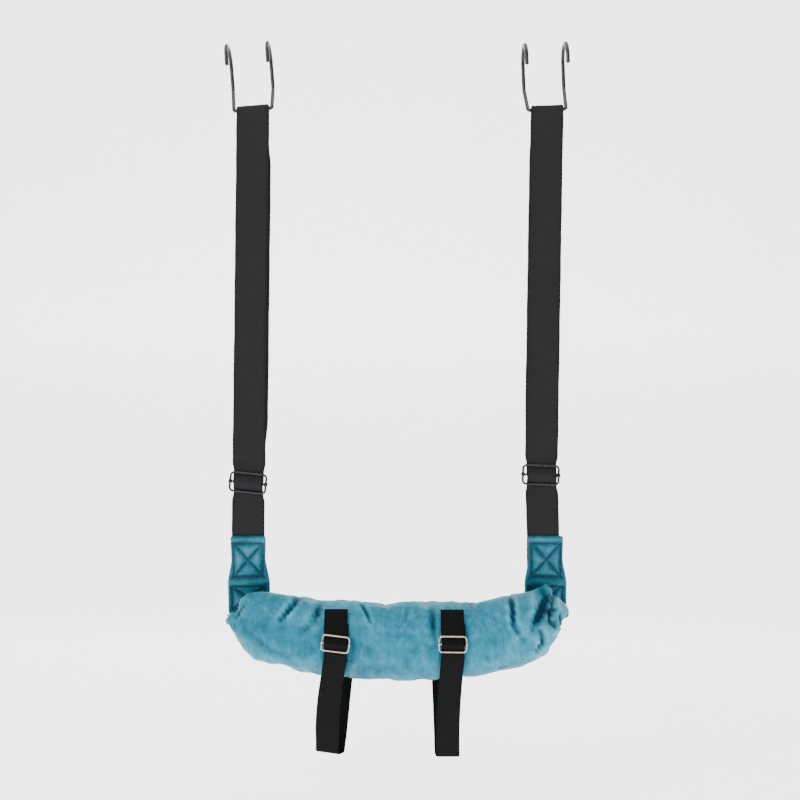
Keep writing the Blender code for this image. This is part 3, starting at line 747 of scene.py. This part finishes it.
def make_strap(side):
    lean = strap_centre_x(side)
    adj = centre_of(f"{side}_adjuster_frame")
    adj_z, adj_y = adj.z, adj.y
    front_y, back_y = -LAYER_Y, LAYER_Y
    sewn_y = back_y + WEB_T + GAP
    leg_z = CROSSBAR_Z - FOLD_LEG
    top, low = adj_z + THREAD_HALF, adj_z - THREAD_HALF
    pin = (adj_y, adj_z)
    end_r = ADJ_WIRE_R + GAP + WEB_T / 2
    inside = ADJ_H / 2 - 2 * ADJ_WIRE_R
    nest = NEST * (WEB_T + GAP)
    loop = wrapped((back_y, adj_z + inside - nest), pin, end_r, (sewn_y, adj_z + inside - 2 * nest))
    sewn = [(sewn_y, adj_z + SEWN_END)] + loop[::-1]
    fold = wrapped((back_y, leg_z), (0, CROSSBAR_Z), FOLD_R + FOLD_SPARE, (front_y, leg_z))
    over_r = end_r + WEB_T + GAP
    thread = wrapped((front_y, adj_z + inside), pin, over_r, (front_y, adj_z - inside))
    tab_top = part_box(f"{side}_tab")[1][2]
    tail = [(front_y, low)] + [(p.y, p.z) for p in base_line(side)]
    profile = sewn + [(back_y, top), (back_y, leg_z)] + fold + [(front_y, leg_z), (front_y, top)] + thread + tail
    path = softened(resampled([Vector((0, y, z)) for y, z in profile], 0.0018), 3)
    tilt_adj = shear(Vector((lean(adj_z), adj_y, adj_z)), ADJ_TILT[side], ADJ_H / 2, THREAD_HALF * 1.3)
    tilt_fold = shear(Vector((strap_x(side), 0, CROSSBAR_Z)), -HOOK_TILT[side], 0.012, FOLD_LEG * 1.1)

    def warp(v):
        v = v.copy()
        v.x += lean(v.z)
        if v.y > 0 and v.z > top:
            v.x += BACK_LAYER_SHIFT[side] * smooth((v.z - top - 0.02) / 0.05) * smooth((leg_z - v.z) / 0.04)
        if v.z > adj_z + 0.2:
            return tilt_fold(v)
        return tilt_adj(v) if abs(v.z - adj_z) < THREAD_HALF * 1.4 else v

    def width_at(_, p):
        near = smooth((THREAD_HALF - abs(p.z - adj_z)) / (THREAD_HALF - ADJ_H / 2))
        at_fold = smooth((p.z - CROSSBAR_Z + 0.03) / 0.03)
        return WEB_W - (WEB_W - THREAD_W) * near - 0.0012 * at_fold

    seed = 0.7 if side == "left" else 2.9
    rings = web_rings(path, width_at, WEB_T, 14, warp, wave=0.00012, seed=seed)
    # the front layer's last point above the lower cut, counted from the far end
    cut = max(i for i, p in enumerate(path) if p.z > low and p.y < 0)
    upper = web_from_rings(f"{side}_strap_upper", rings[: cut + 1], BLACK_WEB)
    pieces = [f"{side}_strap_{n}" for n in ("fold", "back", "front", "end", "thread")]
    start, end = (0, 0, CROSSBAR_Z - 0.004), (0, 0, adj_z + 0.018)
    blend_piece(upper, pieces, start, end)
    lower = web_from_rings(f"{side}_strap_tail", rings[cut:], BLACK_WEB)
    pieces = (f"{side}_strap_lower", f"{side}_strap_base")
    blend_piece(lower, pieces, (0, 0, low), (0, 0, tab_top + 0.002))
    # a box of stitches holds the sewn end to the back layer
    x, y = lean(adj_z + 0.03), sewn_y + WEB_T / 2 + 0.0002
    a, b, c, d = ((i, j) for i in (-0.019, 0.019) for j in (0.022, 0.041))
    lines = ((a, c), (b, d), (a, d), (b, c), (a, b), (c, d))
    rows = [flat_row(Vector((x, y, adj_z)), start, end) for start, end in lines]
    sew(f"{side}_strap_end_stitches", rows, "black", "adjusters")


def flat_row(origin, a, b, steps=12):
    """Points and normals of a straight seam on a back face, from a to b about origin."""
    (ax, az), (bx, bz) = a, b
    points = [origin + Vector((ax + (bx - ax) * f, 0, az + (bz - az) * f)) for f in np.linspace(0, 1, steps)]
    return points, [Y_AXIS] * steps


# ---- quilted velvet tabs ----


def segment_distance(p, a, b):
    (px, py), (ax, ay), (bx, by) = p, a, b
    dx, dy = bx - ax, by - ay
    share = max(0.0, min(1.0, ((px - ax) * dx + (py - ay) * dy) / (dx * dx + dy * dy)))
    return hypot(px - ax - dx * share, py - ay - dy * share)


def tab_seams():
    """Seams on the flat tab as pairs of (across, down) points, in metres."""
    out = []
    boxes = ((0.0121, 0.0700, 0.0222), (0.0885, 0.1290, 0.0252))
    for start, end, half in boxes:
        out += crossed_box(-half, start, half, end)
    return out, [((-0.0245, 0.0727), (0.0245, 0.0717))]


def make_tab(side):
    lean = strap_centre_x(side)
    top_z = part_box(f"{side}_tab")[1][2]
    shift = outer_edge(side, "tab", TAB_HALF_BOTTOM) - lean(top_z - BASE_LEAN)
    n_down, n_across = 170, 72
    # the tab's back face lies just in front of the webbing
    middle = [Vector((0, p.y, p.z)) for p in resampled(base_line(side), 0.001)]
    lift = WEB_T / 2 + GAP
    back_face = [p + t.cross(X_AXIS).normalized() * lift for p, t in zip(middle, tangent_list(middle))]
    back_face = [p for p in back_face if p.z <= top_z - TAB_HEM]
    back_face = resampled(back_face, 0.001)[: round((TAB_LENGTH - TAB_HEM) / 0.001) + 1]
    spots = [p + X_AXIS * (lean(p.z) + shift) for p in resampled(back_face, (TAB_LENGTH - TAB_HEM) / (n_down - 1))]
    seams, zigzag = tab_seams()
    directions = [Vector((0, t.y, t.z)).normalized() for t in tangent_list(spots)]
    down_at = running_length(spots)
    length = down_at[-1]

    def half_width(down):
        waist = 0.0006 * exp(-((down - 0.036) / 0.016) ** 2)
        corner = 0.010 - min(0.010, length - down)
        end = 0.010 - sqrt(max(0.0, 0.010**2 - corner**2))
        start = 0.0025 * (1 - min(1.0, down / 0.004)) ** 2
        return 0.0271 + 0.0058 * smooth((down - 0.040) / 0.046) - waist - end * 0.8 - start

    def surface(across, down):
        """Point on the backing, normal, height, painted shade and painted highlight of the front, across in -1 to 1.
        """
        i = min(n_down - 2, max(0, int(np.searchsorted(down_at, down) - 1)))
        f = (down - down_at[i]) / (down_at[i + 1] - down_at[i])
        spot = spots[i].lerp(spots[i + 1], f)
        t = directions[i].lerp(directions[i + 1], f).normalized()
        out = t.cross(X_AXIS).normalized()
        u = across * half_width(down)
        near = min(segment_distance((u, down), a, b) for a, b in seams)
        near_row = min(segment_distance((u, down), a, b) for a, b in zigzag)
        edge = min(half_width(down) * (1 - abs(across)), down, length - down)
        puff = 1 - exp(-(min(near, near_row * 1.2) / 0.0036) ** 1.3)
        roll = sqrt(max(0.0, 1 - (1 - min(1.0, edge / 0.0034)) ** 2))
        ripple = 0.00030 * sin(down * 640 + across * 3) * exp(-(near / 0.006) ** 2)
        height = (0.0012 + 0.0044 * puff + ripple) * (0.18 + 0.82 * roll)
        # painted shade in the seam valleys and along the rolled edges, painted highlight on the puff tops
        crease = 0.95 * exp(-(min(near, near_row) / 0.0013) ** 2) + 0.35 * exp(-(edge / 0.0014) ** 2)
        shine = max(0.0, puff - 0.55) * 1.8 * (1 - min(1.0, crease))
        return spot + X_AXIS * u, out, height, min(1.0, crease), shine

    points = []
    for i in range(n_down):
        down = length * i / (n_down - 1)
        front, behind = [], []
        for k in range(n_across + 1):
            p, out, height, crease, shine = surface(2 * k / n_across - 1, down)
            front.append((p + out * height, crease, shine))
            edge = 1 - abs(2 * k / n_across - 1)
            # the back face carries a little painted shade as well
            behind.append((p + out * 0.0001 - out * 0.0003 * smooth(edge / 0.1), 0.2, 0.0))
        points += front + behind[::-1]
    verts, creases, shines = zip(*points)
    n = 2 * (n_across + 1)
    faces = ring_faces(n_down, n)
    for start in (0, (n_down - 1) * n):
        for k in range(n_across):
            a, b = start + k, start + n - 1 - k
            quad = (a, a + 1, b - 1, b)
            faces.append(quad[::-1] if start == 0 else quad)
    ob = mesh_object(f"{side}_velvet_tab", verts, faces, SHADED_TAB_VELVET, crease=creases, shine=shines)
    finish_piece(ob, "sling", "teal_velvet", f"{side}_tab")

    def row(a, b, weave=0.0):
        points, normals = [], []
        count = 40
        for i in range(count):
            f = i / (count - 1)
            u, down = a[0] + (b[0] - a[0]) * f, a[1] + (b[1] - a[1]) * f
            if weave:
                down += weave * (1 if i % 2 else -1)
            p, out, height, _, _ = surface(u / half_width(down), down)
            points.append(p + out * (height + 0.00005))
            normals.append(out)
        return points, normals

    upper = [row(a, b) for a, b in seams[:SEAMS_PER_BOX]] + [row(a, b, 0.0009) for a, b in zigzag]
    lower = [row(a, b) for a, b in seams[SEAMS_PER_BOX:]]
    for part, rows in (("upper", upper), ("lower", lower)):
        sew(f"{side}_tab_{part}_stitches", rows, "teal", "sling", f"{side}_tab_stitch_{part}")


# ---- bolster ----


def make_band():
    low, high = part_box("back_band")
    y, z = (low[1] + high[1]) / 2, (low[2] + high[2]) / 2
    turned = [Vector((0, 0, -x)) for x in np.arange(low[0], high[0], 0.002)] + [Vector((0, 0, -high[0]))]

    def warp(v):
        x, off = -v.z, v.x / (high[2] - low[2])
        x += BAND_SLANT[0] * (0.5 - off) * smooth((low[0] + 0.06 - x) / 0.06)
        x -= BAND_SLANT[1] * (0.5 - off) * smooth((x - high[0] + 0.06) / 0.06)
        return Vector((x, v.y + y, v.x + z))

    rings = web_rings(turned, lambda i, p: high[2] - low[2], WEB_T, 14, warp, wave=0.0001, seed=1.1)
    ob = web_from_rings("back_webbing_band", rings, BLACK_WEB)
    finish_piece(ob, "sling", "black_webbing", "back_band")
    for side in SIDES:
        for node, name in ((f"{side}_band_stitch", "band"), (f"{side}_loop_stitch", "loop_end")):
            (x0, y0, z0), (x1, y1, z1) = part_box(node)
            origin = Vector((0, y0 + 0.0002, 0))
            rows = [flat_row(origin, a, b, 24) for a, b in crossed_box(x0, z0, x1, z1)]
            sew(f"{side}_{name}_stitches", rows, "black", "sling", node)


def metres(*values):
    """Millimetres, however deep in tuples, as metres."""
    return tuple(metres(*v) if isinstance(v, tuple) else v / 1000 for v in values)


# top and bottom edge of the bolster against its length, in mm from the band's middle
BOLSTER_TOP = metres(
    (-266.5, 24), (-259, 35.5), (-250, 41), (-244, 48), (-239, 58), (-233, 64), (-220, 68), (-201.6, 67),
    (-184.1, 63), (-152.4, 59.4), (-117.3, 57.1), (-82.2, 55.8), (-47, 53.3), (0, 53.3), (35.2, 54.6),
    (77.3, 54.8), (105.4, 53.3), (126.5, 55), (154.5, 61.1), (175.6, 65.5), (198.4, 70.2), (212, 78), (220, 80),
    (230, 67), (242, 56), (259, 34),
)
BOLSTER_BOTTOM = metres(
    (-266.5, 24), (-257, 11.5), (-240.2, -9.9), (-217.4, -32.5), (-205.2, -35.5), (-170, -41.5), (-149, -49.2),
    (-124.4, -55), (-88.3, -60.5), (-29.5, -60), (0, -61.5), (35.2, -62.8), (94.9, -59), (123, -55.5),
    (154.5, -47.6), (186.2, -39.8), (207.3, -32), (226.6, -20), (235.3, -7), (244, 12), (259, 34),
)

# folds in the front: half width, depth, then (x, z) of points along it, in mm from the band's middle
FOLDS = metres(
    (3.6, 6.2, (-155.5, 60), (-166, 50), (-179, 34.5)), (5.2, 3.6, (-121.5, 54), (-126.2, 35.8)),
    (5, 2.2, (-130, 30), (-148, 18.7)), (2.2, 3.8, (-62.5, 56), (-52.2, 47), (-44.1, 32)),
    (5, 1.4, (-244.2, 44), (-229.7, 18.2), (-198.9, -5.2), (-165.2, -23.3), (-146, -42.2)),
    (3, 1.8, (-190, -33), (-170, -42), (-150, -44)), (2.6, 2.6, (-250, 32), (-242, 45), (-232, 56)),
    (3.2, 2, (12, 48), (8, 35)), (5.8, 3, (49, 43), (50, 18)), (2.4, 3.4, (65, 56), (76.5, 58.5), (87, 53)),
    (2.2, 2.2, (105.2, 58), (108, 50)), (3.4, 6.2, (166, 66), (169.3, 54.9), (168.5, 30.7), (175.4, 18.7)),
    (4.8, 1.4, (175.4, 18.7), (186, 4)), (5.2, 8.6, (215, 80), (221.5, 67.8), (211.8, 50.9), (198.5, 20.4)),
    (4, 7.4, (233, 66), (227.3, 50.9), (223.2, 33.1), (232, 24)), (3, 5, (215, 50), (226, 44), (235, 49)),
    (3.4, 4.4, (209, 18), (215, 0), (205, -12)), (3, 4.4, (240, 42), (245, 20)), (4.4, 2, (138, 40), (143, 34)),
    (3, 2.2, (148, -42), (156, -35)), (4, 1.6, (126, -16), (134, -24)),
)

# patches of painted shade: x, z, half width, half height, share
SHADES = (
    (0.213, 0.048, 0.0095, 0.026, 0.62), (0.227, 0.06, 0.008, 0.012, 0.5), (0.233, 0.033, 0.008, 0.01, 0.35),
    (0.168, 0.06, 0.006, 0.008, 0.45), (0.05, 0.026, 0.006, 0.022, 0.3), (0.048, 0.043, 0.006, 0.006, 0.35),
    (-0.122, 0.043, 0.006, 0.012, 0.3), (-0.156, 0.059, 0.005, 0.004, 0.55), (0.077, 0.056, 0.008, 0.0035, 0.4),
    (0.105, 0.056, 0.004, 0.003, 0.4), (0.205, 0.01, 0.006, 0.01, 0.25),
)


def curve_through(points, x):
    """Height at x on a smooth line through the points."""
    xs = np.array([p[0] for p in points])
    ys = np.array([p[1] for p in points])
    slopes = np.gradient(ys, xs)
    i = int(np.clip(np.searchsorted(xs, x) - 1, 0, len(xs) - 2))
    h = xs[i + 1] - xs[i]
    t = min(1.0, max(0.0, (x - xs[i]) / h))
    a, b = ys[i], ys[i + 1]
    limit = 3 * abs(b - a) / h
    ma, mb = (max(-limit, min(limit, m)) for m in (slopes[i], slopes[i + 1]))
    return (
        a * (1 + 2 * t) * (1 - t) ** 2 + b * t * t * (3 - 2 * t)
        + h * (ma * t * (1 - t) ** 2 - mb * t * t * (1 - t))
    )


def bolster_place():
    """Middle of the band's height, and the bolster's middle depth."""
    return centre_of("back_band").z, Vector(JOINTS["left_tail_wrap"]["pos_m"]).y


def bolster_rings(n_rings, n_around):
    mid_z, mid_y = bolster_place()
    low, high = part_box("bolster_cover")
    front_r = mid_y - low[1]
    back_r = high[1] - mid_y
    x0, x1 = BOLSTER_TOP[0][0], BOLSTER_TOP[-1][0]
    rings = []
    for i in range(n_rings):
        share = 2 * i / (n_rings - 1) - 1
        share = copysign(1 - (1 - abs(share)) ** 1.35, share)
        x = (x0 + x1) / 2 + (x1 - x0) / 2 * share * 0.9995
        top, bottom = curve_through(BOLSTER_TOP, x), curve_through(BOLSTER_BOTTOM, x)
        half = max(0.0006, (top - bottom) / 2)
        full = sqrt(max(0.0, 1 - abs(share) ** 5))
        depth = front_r * full * min(1.0, 0.35 + 0.65 * half / 0.056)
        ring = []
        for k in range(n_around):
            a = 2 * pi * k / n_around
            y = -sin(a)
            reach = depth * 0.94 if y < 0 else back_r * 0.93 * full
            ring.append(Vector((x, mid_y + y * reach, mid_z + (top + bottom) / 2 + half * 0.985 * cos(a))))
        rings.append(ring)
    return rings


CLOTH = {
    "quality": 7, "mass": 0.25, "tension_stiffness": 18, "compression_stiffness": 14, "shear_stiffness": 6,
    "bending_stiffness": 0.12, "vertex_group_mass": "held", "pin_stiffness": 1.0, "use_pressure": True,
}


def puff_up(ob, pinned, frames=22, pressure=4.0, spare=0.05, cap=0.009):
    """Fills a closed cover with air, as cloth a little too large for it, and keeps the wrinkles."""
    group = ob.vertex_groups.new(name="held")
    for weight, indices in pinned.items():
        group.add(indices, weight, "REPLACE")
    rest = [v.co.copy() for v in ob.data.vertices]
    cloth = ob.modifiers.new("cloth", "CLOTH")
    settings = {**CLOTH, "shrink_min": -spare, "uniform_pressure_force": pressure}
    for key, value in settings.items():
        setattr(cloth.settings, key, value)
    cloth.settings.effector_weights.gravity = 0.0
    cloth.collision_settings.use_collision = False
    cloth.point_cache.frame_end = frames
    scene = bpy.context.scene
    for number in range(1, frames + 1):
        scene.frame_set(number)
    evaluated = ob.evaluated_get(bpy.context.evaluated_depsgraph_get())
    moved = [v.co.copy() for v in evaluated.data.vertices]
    ob.modifiers.remove(cloth)
    scene.frame_set(1)
    for vertex, a, b in zip(ob.data.vertices, rest, moved):
        step = b - a
        if step.length > cap:
            step *= cap / step.length
        vertex.co = a + step


def make_bolster():
    n_rings, n_around = 176, 112
    rings = bolster_rings(n_rings, n_around)
    mid_z, mid_y = bolster_place()
    verts = [v for ring in rings for v in ring]
    ob = mesh_object("bolster_cushion", verts, tube_faces(n_rings, n_around), VELVET)
    loops = [(JOINTS[f"{side}_tail_wrap"]["pos_m"][0], LOOP_W / 2 + 0.002) for side in SIDES]
    pinned = {1.0: [], 0.5: []}
    for i, v in enumerate(verts):
        ring = i // n_around
        if ring < 2 or ring > n_rings - 3:
            pinned[1.0].append(i)
        elif v.y > mid_y + 0.034 and abs(v.z - mid_z) < 0.02:
            pinned[1.0].append(i)
        elif v.y < mid_y + 0.01 and any(abs(v.x - x) < half for x, half in loops):
            pinned[1.0].append(i)
    puff_up(ob, pinned)
    ob.modifiers.new("smooth", "SUBSURF").levels = 1
    ob.modifiers["smooth"].render_levels = 1
    apply_modifiers(ob)
    shape_folds(ob, mid_y, mid_z, loops)
    finish_piece(ob, "sling", "teal_velvet", "bolster_cover", "bolster_filling")


def apply_modifiers(ob):
    evaluated = ob.evaluated_get(bpy.context.evaluated_depsgraph_get())
    mesh = bpy.data.meshes.new_from_object(evaluated)
    ob.modifiers.clear()
    ob.data = mesh


def shape_folds(ob, mid_y, mid_z, loops):
    """Presses the folds into the front, paints shade into them and highlights along their ridges."""
    mesh = ob.data
    count = len(mesh.vertices)
    co = np.empty(count * 3)
    mesh.vertices.foreach_get("co", co)
    co = co.reshape(-1, 3)
    normals = np.empty(count * 3, np.float32)
    mesh.vertex_normals.foreach_get("vector", normals)
    normals = normals.reshape(-1, 3).astype(float)
    x, y, z = co[:, 0], co[:, 1], co[:, 2] - mid_z
    front = np.clip((mid_y + 0.016 - y) / 0.03, 0, 1)
    push, crease, shine = np.zeros(count), np.zeros(count), np.zeros(count)
    for half, depth, *line in FOLDS:
        steps = [dist(a, b) for a, b in zip(line, line[1:])]
        off, place, before = np.full(count, 1.0), np.zeros(count), 0.0
        for (ax, az), (bx, bz), step in zip(line, line[1:], steps):
            share = np.clip(((x - ax) * (bx - ax) + (z - az) * (bz - az)) / step**2, 0, 1)
            here = np.hypot(x - ax - (bx - ax) * share, z - az - (bz - az) * share)
            place = np.where(here < off, (before + share * step) / sum(steps), place)
            off = np.minimum(off, here)
            before += step
        off = off + 0.0008 * np.sin(x * 700 + z * 500)
        taper = 0.35 + 0.65 * np.sin(pi * np.clip(place, 0.06, 0.94))
        near = np.exp(-((off / half) ** 2))
        ridge = np.exp(-(((off - 2.2 * half) / (half * 1.2)) ** 2))
        push += taper * depth * (0.36 * ridge - near)
        # painted shade along each fold, painted highlight on the ridge beside it
        crease += taper * np.exp(-((off / (half * 0.85)) ** 2)) * min(1.0, depth / 0.0042)
        shine += taper * ridge * min(1.0, depth / 0.0060)
    # painted shade in the listed patches
    for at_x, at_z, half_x, half_z, share in SHADES:
        crease += share * np.exp(-(((x - at_x) / half_x) ** 2) - ((z - at_z) / half_z) ** 2)
    ripple = (
        np.sin(x * 83 + z * 47 + 1.1) * np.sin(z * 121 - x * 29)
        + 0.5 * np.sin(x * 190 - z * 83 + 0.5) * np.sin(z * 230 + x * 61)
    )
    gather = np.clip((x - 0.150) / 0.08, 0, 1) + np.clip((-0.205 - x) / 0.05, 0, 1) * 0.5
    push = push * front + ripple * (0.0005 + 0.0011 * gather)
    for place, half in loops:
        held = np.clip(1 - (np.abs(x - place) - half) / 0.010, 0, 1) * front
        push = np.where(push > 0, push * (1 - held), push)
        push -= 0.0016 * np.exp(-(((np.abs(x - place) - half) / 0.006) ** 2)) * front * 0.4
    co += normals * push[:, None]
    mesh.vertices.foreach_set("co", co.ravel())
    mesh.update()
    # painted shade in the valleys of the gathered ripples, painted highlight on their tops
    crease = np.clip(crease * front + np.clip(-ripple, 0, 2) * gather * 0.20, 0, 0.97)
    shine = np.clip(shine * front + np.clip(ripple, 0, 2) * gather * 0.35, 0, 1)
    set_attributes(mesh, crease=crease, shine=shine)


# ---- small loops ----


def make_small_loop(side):
    pivot = Vector(JOINTS[f"{side}_tail_wrap"]["pos_m"])
    turn = Matrix.Rotation(radians(-BUCKLE_ANGLE), 3, "X")
    tail_r = 2 / RATIOS[f"{side}_tail_wrap"]
    half_h = BUCKLE_H / 2 - BUCKLE_WIRE_R
    behind = tail_r + LOOP_T / 2 + GAP + BUCKLE_WIRE_R
    frame_y = -sqrt(behind**2 - half_h**2)
    centre = pivot + turn @ Vector((0, frame_y, 0))
    size = (BUCKLE_W, BUCKLE_H, BUCKLE_CORNER_R, BUCKLE_WIRE_R)
    make_triglide(f"{side}_buckle", centre, size, BUCKLE_TILT[side], -BUCKLE_ANGLE, NICKEL, "sling", "nickel_wire")

    def placed(points):
        return [pivot + turn @ Vector((0, y, z)) for y, z in points]

    def on_arc(radius, angle):
        t = radians(angle)
        return -radius * cos(t), radius * sin(t)

    def arc(radius, start, end, steps=20):
        return [on_arc(radius, start + (end - start) * i / steps) for i in range(steps + 1)]

    pin = (frame_y, 0)
    end_r = BUCKLE_WIRE_R + GAP + LOOP_T / 2
    over_r = end_r + LOOP_T + GAP
    lean = degrees(asin((half_h - 2 * BUCKLE_WIRE_R) / tail_r))
    nest = degrees(NEST * (LOOP_T + GAP) / tail_r)
    points = arc(tail_r, TAIL_ANGLE, lean, 30)[:-1]
    points += wrapped(on_arc(tail_r, lean), pin, over_r, on_arc(tail_r, -lean))
    points += arc(tail_r, -lean, -THREAD_ANGLE, 12)[1:]
    path = placed(points)
    # the hanging part: front layer, bottom, back layer
    back_low, back_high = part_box(f"{side}_loop_back")
    low_x = outer_edge(side, "loop_bottom", LOOP_W / 2)
    back_x = back_high[0] - LOOP_W / 2 if side == "left" else back_low[0] + LOOP_W / 2
    askew = tan(radians(LOOP_TILT[side]))
    fold_x = low_x + (back_x - low_x) * LOOP_FOLD_SHARE
    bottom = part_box(f"{side}_loop_bottom")[0][2] + LOOP_T / 2 + askew * (fold_x + LOOP_W / 2 - low_x)
    back_y = back_high[1] - LOOP_T / 2
    mid_y = pivot.y
    hang = [
        path[-1],
        Vector((low_x, mid_y - 0.0075, bottom)),
        Vector((fold_x, mid_y + 0.0075, bottom)),
        Vector((back_x, back_y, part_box("back_band")[0][2] - 0.004)),
        Vector((back_x, back_y, back_high[2])),
    ]
    corners = []
    for before, corner, after, radius in zip(hang, hang[1:], hang[2:], (0.004, 0.004, 0.02)):
        corners += corner_arc(before, corner, after, radius, 10)
    path = path[:-1] + [hang[0], *corners, hang[-1]]
    path = softened(resampled(path, 0.00052), 6)
    tilt = shear(centre, BUCKLE_TILT[side], BUCKLE_H / 2, BUCKLE_H * 1.3, turn)

    def width_at(_, p):
        if p.y > mid_y:
            return LOOP_W
        away = abs((turn.transposed() @ (p - centre)).z)
        return LOOP_W - (LOOP_W - LOOP_THREAD_W) * smooth((BUCKLE_H * 0.85 - away) / (BUCKLE_H * 0.35))

    def warp(v):
        v = v.copy()
        if v.y < mid_y and v.z < hang[0].z:
            v.x -= LOOP_BOW[side] * sin(pi * min(1.0, (hang[0].z - v.z) / (hang[0].z - bottom)))
        if v.z < TILT_FROM_Z:
            share = smooth((TILT_FROM_Z - v.z) / (TILT_FROM_Z - TILT_TO_Z))
            return v - Vector((0, 0, (v.x - low_x) * askew * share))
        return tilt(v) if v.y < mid_y - 0.02 and (v - centre).length < 0.05 else v

    seed = 4.2 if side == "left" else 5.6
    rings = web_rings(path, width_at, LOOP_T, 8, warp, rib=0.10, rib_pitch=0.0021, wave=0.0001, seed=seed)
    cut_z = placed([on_arc(tail_r, -THREAD_ANGLE)])[0].z
    cut = next(i for i, p in enumerate(path) if p.z < cut_z)
    tail = web_from_rings(f"{side}_loop_tail_web", rings[: cut + 1], SMALL_WEB)
    nodes = (f"{side}_loop_thread", f"{side}_loop_tail")
    start, end = placed([on_arc(tail_r, lean), on_arc(tail_r, TAIL_ANGLE)])
    blend_piece(tail, nodes, start, end)
    hanging = web_from_rings(f"{side}_loop_hanging_web", rings[cut:], SMALL_WEB)
    nodes = [f"{side}_loop_{n}" for n in ("front", "bottom", "back")]
    start, end = (0, 0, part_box("bolster_cover")[0][2] + 0.012), (0, 0, bottom + 0.02)
    blend_piece(hanging, nodes, start, end)
    # the anchor: a short folded tape, sewn to the cover, that holds the buckle's bar
    front_r = tail_r - LOOP_T - GAP
    rear_r = front_r - LOOP_T - GAP
    front_leg = arc(front_r, ANCHOR_ANGLES[0], lean - nest)
    rear_leg = arc(rear_r, lean - 2 * nest, ANCHOR_ANGLES[1])
    anchor = placed(front_leg[:-1] + wrapped(front_leg[-1], pin, end_r, rear_leg[0]) + rear_leg[1:])
    anchor = resampled([p + X_AXIS * ANCHOR_SHIFT for p in anchor], 0.00052)
    rings = web_rings(anchor, lambda i, p: LOOP_THREAD_W, LOOP_T, 8, warp, rib=0.10, rib_pitch=0.0021)
    ob = web_from_rings(f"{side}_buckle_anchor", rings, SMALL_WEB)
    finish_piece(ob, "sling", "small_webbing", f"{side}_loop_anchor")


# ---- studio ----


def make_studio():
    floor_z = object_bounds()[0][2] - 0.11
    profile = [(-3.2, 0.0), (1.3, 0.0)]
    for i in range(1, 13):
        t = pi / 2 * i / 12
        profile.append((1.3 + 0.9 * sin(t), 0.9 * (1 - cos(t))))
    profile.append((2.2, 4.2))
    verts = [Vector((x, y, floor_z + z)) for y, z in profile for x in (-4.5, 4.5)]
    faces = [(2 * i, 2 * i + 1, 2 * i + 3, 2 * i + 2) for i in range(len(profile) - 1)]
    floor = mesh_object("pale_floor", verts, faces, floor_material())
    world = bpy.data.worlds.new("studio")
    bpy.context.scene.world = world
    world.use_nodes = True
    sky = world.node_tree.nodes["Background"].inputs
    sky["Color"].default_value = (1, 1, 1, 1)
    sky["Strength"].default_value = WORLD_GLOW
    for name, place, size, power in LIGHTS:
        light = bpy.data.lights.new(name, "AREA")
        light.energy = power
        light.size = size
        ob = add_object(name, light)
        ob.location = place
        aim = Vector((0, 0, -0.6)) - Vector(place)
        ob.rotation_euler = aim.to_track_quat("-Z", "Y").to_euler()
    camera = bpy.data.cameras.new("camera")
    camera.lens = CAMERA_LENS
    ob = add_object("camera", camera)
    ob.location = CAMERA_PLACE
    ob.rotation_euler = (pi / 2, 0, 0)
    bpy.context.scene.camera = ob


make_studio()
for side in SIDES:
    make_hook(side)
    make_adjuster(side)
    make_strap(side)
    make_tab(side)
    make_small_loop(side)
make_band()
make_bolster()
